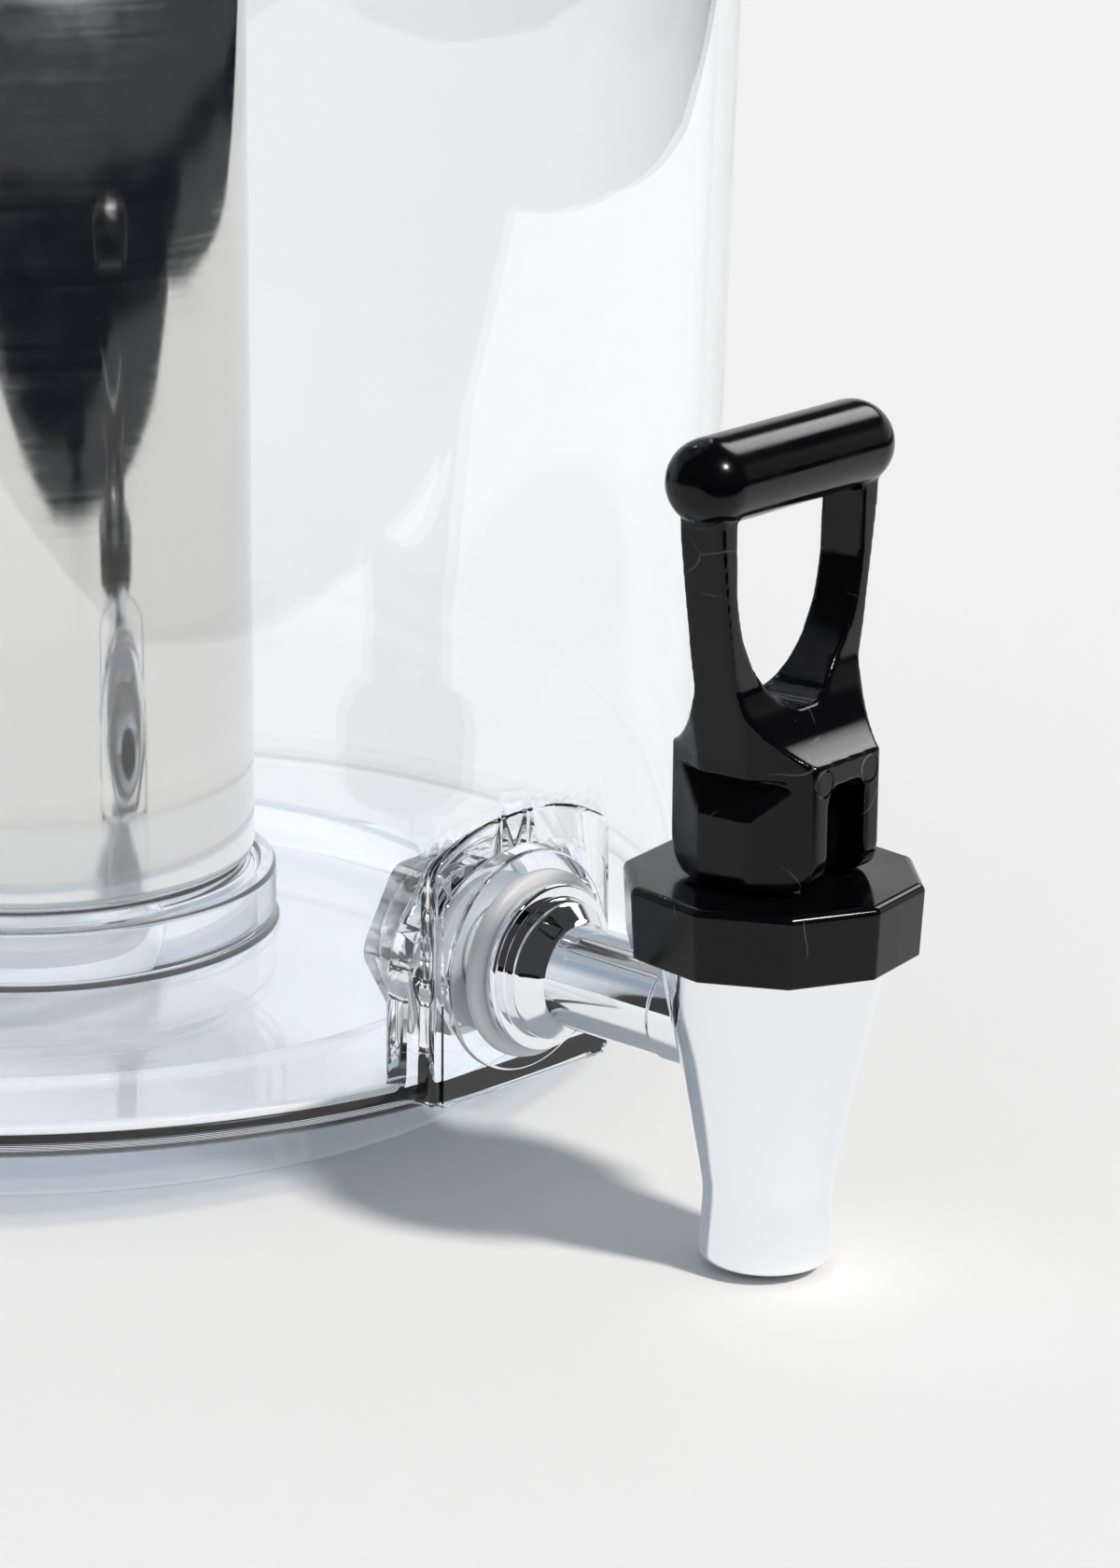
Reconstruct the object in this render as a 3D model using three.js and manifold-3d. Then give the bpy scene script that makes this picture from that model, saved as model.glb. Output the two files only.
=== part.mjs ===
import * as THREE from 'three';
import { mergeVertices } from 'three/addons/utils/BufferGeometryUtils.js';
import Module from 'manifold-3d';

// Clear juice dispenser with a steel ice tube and a lever tap, in millimetres, +Z up.
// The origin lies on the table, under the middle of the foot, and the tap points along -Y.
// A profile point is [radius, height], or [radius, reach] where the axis runs along -Y.

const wasm = await Module();
wasm.setup();

// Fits between pieces
const seatGap = 0.3;
const cutOverrun = 2;

// Foot dish under the tank
const footHeight = 14.4;
const footTopRadius = 83;
const footBottomRadius = 89;
const footWall = 4.5;
const footEdge = 1.5;

// Tank
const tankHeight = 255;
const tankRadius = 114.6;
const tankSpreadShare = 0.026;
const tankWall = 3.6;
const tankFloor = 3.6;
const tankHeel = 5;
const tankInnerHeel = 3;
const tankLip = 1.2;

// Raised ring in the middle of the floor, and the flat faced boss that takes the tap
const ringRoom = 0.6;
const ringWall = 3;
const ringHeight = 9.7;
const ringEdge = 0.8;
const bossFaceStand = 1.4;
const bossDepth = 11.6;
const bossHalfWidth = 20.05;
const bossTop = 61;
const bossBottom = 16.8;
const bossArch = 37;
const bossCorner = 4;
const bossEdge = 0.8;
const bossInnerCentre = 34.4;
const bossPadDepth = 0.5;
const bossPadSideInset = 2;
const bossPadTopInset = 5.6;
const bossRingRadius = 17.6;
const bossRingDepth = 1.3;

// Ice tube, its clear foot and its cap
const iceTubeRadius = 38;
const iceTubeWall = 1;
const iceTubeTopRoom = 39.8;
const iceTubeCorner = 2.4;
const iceFootNeckInset = 1;
const iceFootTop = 1.6;
const iceFootWall = 4.5;
const iceFootRoof = 3.2;
const iceCapFlange = 3.5;
const iceCapSpigot = 8;
const iceCapSpigotWall = 2.4;
const iceCapKnobRadius = 9;
const iceCapKnobHeight = 11;
const iceSealSection = 1.5;

// Lid, its seal, knob and screw
const lidSheet = 1.2;
const lidSkirt = 12;
const lidSkirtGap = 1.2;
const lidRise = 7;
const lidSealThickness = 1.8;
const lidSealWidth = 6;
const knobRadius = 17;
const knobHeight = 24;
const screwRadius = 2.5;
const screwHead = 4.5;
const screwHeadHeight = 2;
const screwLength = 12;

// Tap body: a tapered barrel, its shank and its flange
const spoutLift = 1.7;
const tapStand = 50.6;
const shankRise = 34.95;
const barrelHeight = 48.74;
const barrelTopRadius = 17;
const spoutLip = 1.2;
const spoutBore = 7.4;
const seatRise = 24;
const seatConeHeight = 3;
const chamberRadius = 10.6;
const barrelNeckRadius = 14.8;
const barrelNeckHeight = 6.7;
const shankRadius = 8.16;
const shankBore = 5.2;
const shankSeam = 0.35;
const shankSeamReach = 17.5;
const threadRadius = 7.7;
const threadLength = 29.4;
const flangeRadius = 13.2;
const flangeThickness = 2;
const flangeEdge = 0.6;
const flangeNeck = 10.9;
const flangeNeckLength = 2.4;
const flangeConeLength = 2.6;
const washerThickness = 2.5;
const washerRadius = 14.9;
const washerEdge = 0.8;
const innerWasherThickness = 2;
const innerWasherRadius = 12.6;
const nutThickness = 7.5;
const nutAcrossFlats = 26;
const nutEdge = 0.8;

// Ten sided bonnet nut with its seal, and the stem, cup and spring under it
const bonnetHeight = 11.2;
const bonnetTopCorner = 22.7;
const bonnetBottomCorner = 22.1;
const bonnetBevel = 0.8;
const bonnetSides = 10;
const bonnetTurnDegrees = -6.9;
const sealThickness = 1.2;
const stemRadius = 4;
const stemTip = 3.2;
const stemShoulder = 7.2;
const stemShoulderThickness = 1.7;
const stemShoulderRise = 36.3;
const cupRimHeight = 1.6;
const cupNeck = 6.4;
const cupFloor = 1.6;
const springRadius = 6.2;
const springWire = 0.6;
const springCurls = 6;
const pinRise = 9;
const pinRadius = 1.5;
const pinHalfLength = 8.6;

// Handle, measured from the top of the bonnet
const handleGap = 0.5;
const blockTop = 19.7;
const handleTurnDegrees = 5;
const blockHalfWidth = 13.2;
const blockHalfDepth = 13;
const blockSideHalfFlat = 4.4;
const blockEndHalfFlat = 7.9;
const blockHeel = 5;
const slotWidth = 9.4;
const slotTop = 16;
const slotCorner = 2.6;
const notchLow = 11.4;
const notchHigh = 17.3;
const notchDepth = 3.85;
const legHalfDepth = 3.9;
const legHalfSpread = 19.5;
const flareTop = 31;
const flareHalfWidth = 15.6;
const windowLow = 26.2;
const windowHalfWidth = 15.6;
const gripRise = 61.4;
const gripRadius = 6.5;
const gripLength = 47.4;

// Outlines as shares of the sizes that they follow
const barrelShares = [[0.05, 0.588], [0.14, 0.575], [0.226, 0.571], [0.309, 0.606], [0.391, 0.65],
  [0.475, 0.695], [0.556, 0.741], [0.638, 0.788], [0.72, 0.841], [0.864, 0.93], [1, 1]];
const legShares = [[0, 0.677], [0.06, 0.7], [0.14, 0.735], [0.24, 0.777], [0.35, 0.825], [0.5, 0.885],
  [0.7, 0.95], [0.86, 0.99], [1, 1]];
const flareShares = [[0, 1], [0.05, 0.86], [0.14, 0.7], [0.28, 0.5], [0.46, 0.3], [0.66, 0.13], [0.84, 0.04], [1, 0]];
const windowShares = [[0, 0.14], [0.035, 0.32], [0.08, 0.44], [0.14, 0.57], [0.23, 0.74], [0.33, 0.86], [0.44, 0.93],
  [0.6, 0.98], [1, 1]];
const knobShares = [[0, 0.49], [0.1, 0.53], [0.3, 0.53], [0.42, 0.66], [0.55, 0.9], [0.68, 1], [0.82, 1], [0.93, 0.9],
  [1, 0.66]];

// Heights and reaches that follow from the sizes above
const tankBottom = footHeight + seatGap;
const tankTop = tankBottom + tankHeight;
const floorTop = tankBottom + tankFloor;
const ringTop = floorTop + ringHeight;
const iceTubeBottom = ringTop + iceFootTop + seatGap;
const iceTubeTop = tankTop - iceTubeTopRoom;
const ringRadius = iceTubeRadius + ringRoom + ringWall;
const iceFootNeck = iceTubeRadius - iceFootNeckInset;
const rimRadius = tankRadius + tankSpreadShare * tankHeight;
const shankAxis = spoutLift + shankRise;
const bonnetBottom = spoutLift + barrelHeight + seatGap;
const bonnetTop = bonnetBottom + bonnetHeight;
const neckTop = spoutLift + barrelHeight + barrelNeckHeight;
const sealTop = neckTop + seatGap + sealThickness;
const threadHole = threadRadius + seatGap;
const bossFaceReach = tankRadius + bossFaceStand;
const tapReach = bossFaceReach + tapStand;
const bossRingFace = bossFaceReach + bossRingDepth;
const flangeBack = bossRingFace + seatGap + washerThickness + seatGap;
const threadEndReach = flangeBack - threadLength;
const innerFaceReach = bossFaceReach - bossDepth;
const pinHeight = bonnetTop + pinRise;
const stemShoulderBottom = spoutLift + stemShoulderRise;

const clear = { color: 0xdfe9f3, roughness: 0.04, metalness: 0, transparent: true, opacity: 0.32 };
const steel = { color: 0xc9cacc, roughness: 0.12, metalness: 1 };
const chrome = { color: 0xd9dce0, roughness: 0.05, metalness: 1 };
const black = { color: 0x0b0b0d, roughness: 0.12, metalness: 0 };
const silicone = { color: 0xe9edf0, roughness: 0.45, metalness: 0 };
const nylon = { color: 0xe4e4df, roughness: 0.4, metalness: 0 };

const dispenser = new THREE.Group();

function addPiece(name, solid, look) {
  const mesh = new THREE.Mesh(toGeometry(solid), new THREE.MeshStandardMaterial(look));
  mesh.name = name;
  dispenser.add(mesh);
  return mesh;
}

function toGeometry(solid) {
  const found = solid.getMesh();
  const geometry = new THREE.BufferGeometry();
  geometry.setAttribute('position', new THREE.BufferAttribute(new Float32Array(found.vertProperties), found.numProp));
  geometry.setIndex(new THREE.BufferAttribute(new Uint32Array(found.triVerts), 1));
  geometry.computeVertexNormals();
  return geometry;
}

// Six times the volume that the triangles enclose, positive when they face outwards.
function signedVolume(points, corners) {
  const a = new THREE.Vector3();
  const b = new THREE.Vector3();
  const c = new THREE.Vector3();
  let total = 0;
  for (let i = 0; i < corners.length; i += 3) {
    a.fromArray(points, corners[i] * 3);
    b.fromArray(points, corners[i + 1] * 3);
    c.fromArray(points, corners[i + 2] * 3);
    total += a.dot(b.cross(c));
  }
  return total;
}

function toSolid(geometry) {
  const bare = geometry.clone();
  bare.deleteAttribute('normal');
  bare.deleteAttribute('uv');
  const merged = mergeVertices(bare, 1e-4);
  const points = merged.attributes.position.array;
  const source = merged.index.array;
  const corners = [];
  for (let i = 0; i < source.length; i += 3) {
    const [p, q, r] = [source[i], source[i + 1], source[i + 2]];
    if (p !== q && q !== r && r !== p) corners.push(p, q, r);
  }
  if (signedVolume(points, corners) < 0) {
    for (let i = 0; i < corners.length; i += 3) [corners[i], corners[i + 1]] = [corners[i + 1], corners[i]];
  }
  const mesh = new wasm.Mesh({
    numProp: 3, vertProperties: new Float32Array(points), triVerts: new Uint32Array(corners),
  });
  return new wasm.Manifold(mesh);
}

// A profile turned about the upright axis.
function turned(profile, sides) {
  const points = profile.map(([radius, height]) => new THREE.Vector2(radius, height));
  const geometry = new THREE.LatheGeometry(points, sides);
  geometry.rotateX(Math.PI / 2);
  return toSolid(geometry);
}

// A profile turned about the level axis that runs forward along -Y at the shank's height.
function turnedForward(profile, sides) {
  const points = profile.map(([radius, reach]) => new THREE.Vector2(radius, -reach));
  const geometry = new THREE.LatheGeometry(points, sides);
  geometry.translate(0, 0, shankAxis);
  return toSolid(geometry);
}

function rod(radius, low, high, sides) {
  return turned([[0, low], [radius, low], [radius, high], [0, high]], sides);
}

function forwardRod(radius, near, far, sides) {
  return turnedForward([[0, near], [radius, near], [radius, far], [0, far]], sides);
}

function ring(inner, outer, low, high, edge, sides) {
  return turned([[inner, low], [outer - edge, low], [outer, low + edge], [outer, high - edge], [outer - edge, high],
    [inner, high], [inner, low]], sides);
}

function forwardRing(inner, outer, near, far, edge, sides) {
  return turnedForward([[inner, near], [outer - edge, near], [outer, near + edge], [outer, far - edge],
    [outer - edge, far], [inner, far], [inner, near]], sides);
}

function overTap(solid) {
  return solid.translate([0, -tapReach, 0]);
}

// The handle and what turns with it on the bonnet stand a little turned about the stem.
function turnedOverTap(solid) {
  return overTap(solid.rotate([0, 0, handleTurnDegrees]));
}

// An outline in X and Z, pushed forward along -Y from one reach to the next.
function pushedForward(shape, near, far, edge, curveSteps) {
  const geometry = new THREE.ExtrudeGeometry(shape, {
    depth: far - near - 2 * edge, bevelEnabled: edge > 0, bevelThickness: edge, bevelSize: edge,
    bevelOffset: -edge, bevelSegments: 2, curveSegments: curveSteps,
  });
  geometry.rotateX(Math.PI / 2);
  geometry.translate(0, -near - edge, 0);
  return toSolid(geometry);
}

// An outline in Y and Z, pushed along X to the same distance on both sides.
function pushedAcross(shape, halfWidth, curveSteps) {
  const geometry = new THREE.ExtrudeGeometry(shape, {
    depth: 2 * halfWidth, bevelEnabled: false, curveSegments: curveSteps,
  });
  geometry.rotateX(Math.PI / 2);
  geometry.rotateZ(Math.PI / 2);
  geometry.translate(-halfWidth, 0, 0);
  return toSolid(geometry);
}

function pushedUp(shape, low, high) {
  const geometry = new THREE.ExtrudeGeometry(shape, { depth: high - low, bevelEnabled: false });
  geometry.translate(0, 0, low);
  return toSolid(geometry);
}

// A quarter circle of profile points from one angle to the next, in degrees.
function arc(centreRadius, centreHeight, radius, from, to, steps) {
  const points = [];
  for (let i = 0; i <= steps; i += 1) {
    const angle = THREE.MathUtils.degToRad(from + (to - from) * i / steps);
    points.push([centreRadius + radius * Math.cos(angle), centreHeight + radius * Math.sin(angle)]);
  }
  return points;
}

function mirrored(points) {
  const left = points.map(([x, z]) => [-x, z]).reverse();
  return new THREE.Shape([...points, ...left].map(([x, z]) => new THREE.Vector2(x, z)));
}

function box(halfX, nearReach, farReach, low, high) {
  const geometry = new THREE.BoxGeometry(2 * halfX, farReach - nearReach, high - low);
  geometry.translate(0, -(nearReach + farReach) / 2, (low + high) / 2);
  return toSolid(geometry);
}

// The boss outside the wall: upright sides, rounded shoulders and a shallow arch on top.
function bossShape(sideInset, topInset) {
  const half = bossHalfWidth - sideInset;
  const top = bossTop - topInset;
  const arch = bossArch - topInset;
  const centre = top - arch;
  const across = half - bossCorner;
  const shoulder = centre + Math.sqrt((arch - bossCorner) ** 2 - across ** 2);
  const turn = Math.atan2(shoulder - centre, across);
  const shape = new THREE.Shape();
  shape.moveTo(-half, bossBottom);
  shape.lineTo(half, bossBottom);
  shape.lineTo(half, shoulder);
  shape.absarc(across, shoulder, bossCorner, 0, turn, false);
  shape.absarc(0, centre, arch, turn, Math.PI - turn, false);
  shape.absarc(-across, shoulder, bossCorner, Math.PI - turn, Math.PI, false);
  return shape;
}

// The boss inside the wall, around the tap's nut: upright sides under a half circle.
function bossInnerShape() {
  const shape = new THREE.Shape();
  shape.moveTo(-bossHalfWidth, bossBottom);
  shape.lineTo(bossHalfWidth, bossBottom);
  shape.lineTo(bossHalfWidth, bossInnerCentre);
  shape.absarc(0, bossInnerCentre, bossHalfWidth, 0, Math.PI, false);
  return shape;
}

function makeFoot() {
  const innerTop = footTopRadius - footWall;
  const innerBottom = footBottomRadius - footWall;
  return turned([[0, 0], [footBottomRadius - footEdge, 0], [footBottomRadius, footEdge],
    [footTopRadius, footHeight], [innerTop, footHeight], [innerBottom, footWall], [0, footWall]], 48);
}

// Floor, tapered wall, rolled lip and the ring that centres the ice tube, in one turned profile.
function makeTank() {
  const innerFoot = tankRadius - tankWall;
  const innerRim = rimRadius - tankWall;
  const ringInner = ringRadius - ringWall;
  const shell = turned([
    [0, tankBottom],
    ...arc(tankRadius - tankHeel, tankBottom + tankHeel, tankHeel, -90, 0, 4),
    [rimRadius, tankTop - tankLip],
    [rimRadius - tankLip, tankTop],
    [innerRim + tankLip, tankTop],
    [innerRim, tankTop - tankLip],
    ...arc(innerFoot - tankInnerHeel, floorTop + tankInnerHeel, tankInnerHeel, 0, -90, 3),
    [ringRadius, floorTop],
    [ringRadius, ringTop - ringEdge],
    [ringRadius - ringEdge, ringTop],
    [ringInner, ringTop],
    [ringInner, floorTop],
    [0, floorTop],
  ], 68);
  const cavity = turned([[0, floorTop], [innerFoot, floorTop], [innerRim, tankTop], [0, tankTop]], 68);
  const plate = pushedForward(bossShape(0, 0), innerFaceReach, bossFaceReach, bossEdge, 6).subtract(cavity);
  const boss = pushedForward(bossInnerShape(), innerFaceReach, bossFaceReach - bossEdge, bossEdge, 12).add(plate);
  const pad = pushedForward(bossShape(bossPadSideInset, bossPadTopInset), bossFaceReach - bossPadDepth,
    bossFaceReach + bossPadDepth, 0, 6);
  const face = forwardRod(bossRingRadius, innerFaceReach + cutOverrun, bossRingFace, 32);
  const hole = forwardRod(threadHole, innerFaceReach - cutOverrun, bossRingFace + cutOverrun, 28);
  return shell.add(boss).add(pad).add(face).subtract(hole);
}

function makeIceTube() {
  const inner = iceTubeRadius - iceTubeWall;
  const innerCorner = iceTubeCorner - iceTubeWall;
  return turned([
    [0, iceTubeBottom],
    ...arc(iceTubeRadius - iceTubeCorner, iceTubeBottom + iceTubeCorner, iceTubeCorner, -90, 0, 3),
    [iceTubeRadius, iceTubeTop],
    [inner, iceTubeTop],
    ...arc(inner - innerCorner, iceTubeBottom + iceTubeWall + innerCorner, innerCorner, 0, -90, 2),
    [0, iceTubeBottom + iceTubeWall],
  ], 48);
}

// A clear plug that stands in the floor ring and carries the tube a little above it.
function makeIceTubeFoot() {
  const outer = ringRadius - ringWall - seatGap;
  const top = iceTubeBottom - seatGap;
  return turned([
    [outer - iceFootWall, floorTop + seatGap],
    [outer, floorTop + seatGap],
    [outer, ringTop - ringEdge],
    [iceFootNeck, ringTop],
    [iceFootNeck, top],
    [0, top],
    [0, top - iceFootRoof],
    [outer - iceFootWall, top - iceFootRoof],
    [outer - iceFootWall, floorTop + seatGap],
  ], 40);
}

function makeIceTubeCap() {
  const base = iceTubeTop + seatGap + iceSealSection + seatGap;
  const spigot = iceTubeRadius - iceTubeWall - seatGap;
  const top = base + iceCapFlange;
  return turned([
    [spigot - iceCapSpigotWall, base - iceCapSpigot],
    [spigot, base - iceCapSpigot],
    [spigot, base],
    [iceTubeRadius, base],
    [iceTubeRadius, top - ringEdge],
    [iceTubeRadius - ringEdge, top],
    [iceCapKnobRadius, top],
    [iceCapKnobRadius, top + iceCapKnobHeight - ringEdge],
    [iceCapKnobRadius - ringEdge, top + iceCapKnobHeight],
    [0, top + iceCapKnobHeight],
    [0, base],
    [spigot - iceCapSpigotWall, base],
    [spigot - iceCapSpigotWall, base - iceCapSpigot],
  ], 32);
}

function makeIceTubeSeal() {
  const low = iceTubeTop + seatGap;
  return ring(iceTubeRadius - iceTubeWall, iceTubeRadius, low, low + iceSealSection, 0, 40);
}

// A pressed steel lid: a shallow dome with a skirt that drops over the tank's rim.
function makeLid() {
  const seat = tankTop + seatGap + lidSealThickness + seatGap;
  const inner = rimRadius + lidSkirtGap;
  const outer = inner + lidSheet;
  const low = seat - lidSkirt;
  const crown = seat + lidRise;
  const shoulder = rimRadius - lidSealWidth;
  const dish = screwHead * 3;
  const shell = turned([
    [inner, low],
    [outer, low],
    [outer, seat],
    [outer - lidSheet, seat + lidSheet],
    [shoulder, seat + lidSheet],
    [dish, crown + lidSheet],
    [0, crown + lidSheet],
    [0, crown],
    [dish, crown],
    [shoulder, seat],
    [inner, seat],
    [inner, low],
  ], 60);
  return shell.subtract(rod(screwRadius + seatGap, crown - cutOverrun, crown + lidSheet + cutOverrun, 16));
}

function makeLidSeal() {
  const low = tankTop + seatGap;
  return ring(rimRadius - lidSealWidth, rimRadius, low, low + lidSealThickness, 0, 48);
}

function makeLidKnob() {
  const base = tankTop + 3 * seatGap + lidSealThickness + lidRise + lidSheet;
  const outline = knobShares.map(([up, out]) => [knobRadius * out, base + knobHeight * up]);
  const body = turned([[0, base], ...outline, [0, base + knobHeight]], 24);
  const hole = rod(screwRadius + seatGap, base - cutOverrun, base + screwLength - screwHeadHeight, 16);
  return body.subtract(hole);
}

function makeLidScrew() {
  const seat = tankTop + 2 * seatGap + lidSealThickness + lidRise - seatGap;
  return turned([
    [0, seat - screwHeadHeight],
    [screwHead, seat - screwHeadHeight],
    [screwHead, seat],
    [screwRadius, seat],
    [screwRadius, seat + screwLength - screwHeadHeight],
    [0, seat + screwLength - screwHeadHeight],
  ], 16);
}

// The barrel's outside follows its shares from a rounded lip to the shoulder under the bonnet.
function barrelOutside() {
  const lipRadius = barrelTopRadius * barrelShares[0][1] - spoutLip;
  const shares = barrelShares.slice(1);
  return turned([
    [0, spoutLift],
    ...arc(lipRadius, spoutLift + spoutLip, spoutLip, -90, 0, 3),
    [barrelTopRadius * barrelShares[0][1], spoutLift + barrelHeight * barrelShares[0][0]],
    ...shares.map(([up, out]) => [barrelTopRadius * out, spoutLift + barrelHeight * up]),
    [barrelNeckRadius, spoutLift + barrelHeight],
    [barrelNeckRadius, neckTop],
    [0, neckTop],
  ], 36);
}

// The drink's way: spout, conical seat and the chamber round the stem.
function barrelInside() {
  const seat = spoutLift + seatRise;
  return turned([
    [0, spoutLift - cutOverrun],
    [spoutBore, spoutLift - cutOverrun],
    [spoutBore, seat],
    [chamberRadius, seat + seatConeHeight],
    [chamberRadius, neckTop + cutOverrun],
    [0, neckTop + cutOverrun],
  ], 24);
}

function shankOutside() {
  const front = flangeBack + flangeThickness;
  const neckEnd = front + flangeNeckLength;
  const coneEnd = neckEnd + flangeConeLength;
  const seam = tapReach - shankSeamReach;
  return turnedForward([
    [0, threadEndReach],
    [threadRadius, threadEndReach],
    [threadRadius, flangeBack],
    [flangeRadius - flangeEdge, flangeBack],
    [flangeRadius, flangeBack + flangeEdge],
    [flangeRadius, front - flangeEdge],
    [flangeRadius - flangeEdge, front],
    [flangeNeck, front],
    [flangeNeck, neckEnd],
    [shankRadius + shankSeam, coneEnd],
    [shankRadius, coneEnd],
    [shankRadius, seam],
    [shankRadius + shankSeam, seam],
    [shankRadius + shankSeam, tapReach],
    [0, tapReach],
  ], 30);
}

function makeTapBody() {
  const outside = overTap(barrelOutside()).add(shankOutside());
  const inlet = forwardRod(shankBore, threadEndReach - cutOverrun, tapReach, 24);
  return outside.subtract(overTap(barrelInside())).subtract(inlet);
}

function makeTapWasher() {
  const near = bossRingFace + seatGap;
  return forwardRing(threadHole, washerRadius, near, near + washerThickness, washerEdge, 36);
}

function makeInnerWasher() {
  const far = innerFaceReach - seatGap;
  return forwardRing(threadHole, innerWasherRadius, far - innerWasherThickness, far, 0, 28);
}

function makeTapNut() {
  const far = innerFaceReach - seatGap - innerWasherThickness - seatGap;
  const near = far - nutThickness;
  const corner = nutAcrossFlats / Math.sqrt(3);
  const points = [];
  for (let i = 0; i < 6; i += 1) {
    const angle = i * Math.PI / 3;
    points.push(new THREE.Vector2(corner * Math.cos(angle), shankAxis + corner * Math.sin(angle)));
  }
  const hex = pushedForward(new THREE.Shape(points), near, far, 0, 1);
  const turnedEdge = forwardRing(threadHole, corner, near, far, nutEdge, 36);
  return hex.intersect(turnedEdge);
}

// Ten flat sides with a little draft, a bevelled top edge and the thread's room beneath.
function makeBonnet() {
  const topEdge = bonnetTop - bonnetBevel;
  const outside = turned([
    [0, bonnetBottom],
    [bonnetBottomCorner, bonnetBottom],
    [bonnetTopCorner, topEdge],
    [bonnetTopCorner - bonnetBevel, bonnetTop],
    [0, bonnetTop],
  ], bonnetSides);
  const thread = rod(barrelNeckRadius + seatGap, bonnetBottom - cutOverrun, sealTop + seatGap, 36);
  const hole = rod(stemRadius + seatGap, sealTop, bonnetTop + cutOverrun, 24);
  const nut = outside.rotate([0, 0, bonnetTurnDegrees]).subtract(thread).subtract(hole);
  return overTap(nut);
}

function makeBonnetSeal() {
  return overTap(ring(stemRadius + seatGap, barrelNeckRadius, neckTop + seatGap, sealTop, 0, 32));
}

// The stem: a tip in the cup, a shoulder for the spring and a round head at the pin.
function makeStem() {
  const tipLow = spoutLift + seatRise + cupFloor + seatGap;
  const shoulderTop = stemShoulderBottom + stemShoulderThickness;
  const stem = turned([
    [0, tipLow],
    [stemTip, tipLow],
    [stemTip, stemShoulderBottom],
    [stemShoulder, stemShoulderBottom],
    [stemShoulder, shoulderTop],
    [stemRadius, shoulderTop],
    ...arc(0, pinHeight, stemRadius, 0, 90, 4),
  ], 24);
  return turnedOverTap(stem.subtract(pinHole(stemRadius + cutOverrun)));
}

function pinHole(halfLength) {
  return pinSolid(pinRadius + seatGap, halfLength);
}

// A round bar across the tap at the height of the pin.
function pinSolid(radius, halfLength) {
  const geometry = new THREE.CylinderGeometry(radius, radius, 2 * halfLength, 20);
  geometry.rotateZ(Math.PI / 2);
  geometry.translate(0, 0, pinHeight);
  return toSolid(geometry);
}

// The cup keeps the seat's cone, set back from it by the seat gap, and tapers to the shoulder.
function makeSeatCup() {
  const coneWidth = chamberRadius - spoutBore;
  const slant = Math.hypot(coneWidth, seatConeHeight);
  const inward = seatGap * seatConeHeight / slant;
  const upward = seatGap * coneWidth / slant;
  const low = spoutLift + seatRise + upward;
  const rimRadiusHere = chamberRadius - inward - seatGap;
  const rise = seatConeHeight * (rimRadiusHere - spoutBore + inward) / coneWidth;
  const rim = low + rise + cupRimHeight;
  const bore = stemTip + seatGap;
  const boreLow = spoutLift + seatRise + cupFloor;
  const top = stemShoulderBottom - seatGap;
  return overTap(turned([
    [0, low],
    [spoutBore - inward, low],
    [rimRadiusHere, low + rise],
    [rimRadiusHere, rim],
    [cupNeck, top],
    [bore, top],
    [bore, boreLow],
    [0, boreLow],
  ], 28));
}

// A pressure spring between the stem's shoulder and the bonnet's seal, as one unbroken wire.
function makeSpring() {
  const low = stemShoulderBottom + stemShoulderThickness + seatGap + springWire;
  const high = neckTop - springWire;
  class Helix extends THREE.Curve {
    getPoint(share, target = new THREE.Vector3()) {
      const angle = 2 * Math.PI * springCurls * share;
      const height = low + (high - low) * share;
      return target.set(springRadius * Math.cos(angle), springRadius * Math.sin(angle), height);
    }
  }
  const section = [];
  for (let i = 0; i < 5; i += 1) {
    const angle = 2 * Math.PI * i / 5;
    section.push(new THREE.Vector2(springWire * Math.cos(angle), springWire * Math.sin(angle)));
  }
  const geometry = new THREE.ExtrudeGeometry(new THREE.Shape(section), {
    steps: springCurls * 8, extrudePath: new Helix(), bevelEnabled: false,
  });
  const pitch = (high - low) / springCurls;
  console.log('Spring: least gap between its curls', (pitch - 2 * springWire).toFixed(2));
  return overTap(toSolid(geometry));
}

function makePin() {
  return turnedOverTap(pinSolid(pinRadius, pinHalfLength));
}

// The right half of the block's eight sided plan, drawn for any half width.
function planCorners(halfWidth) {
  const end = halfWidth - (blockHalfWidth - blockEndHalfFlat);
  return [[end, -blockHalfDepth], [halfWidth, -blockSideHalfFlat], [halfWidth, blockSideHalfFlat],
    [end, blockHalfDepth]];
}

// The eight sided block at the foot of the handle, rounded where it rolls on the bonnet.
function handleBlock(base, top) {
  const prism = pushedUp(mirrored(planCorners(blockHalfWidth)), base, top);
  const heel = arc(blockHalfDepth - blockHeel, base + blockHeel, blockHeel, -90, 0, 5);
  const side = mirrored([...heel, [blockHalfDepth, top]]);
  return prism.intersect(pushedAcross(side, blockHalfWidth + cutOverrun, 1));
}

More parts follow.
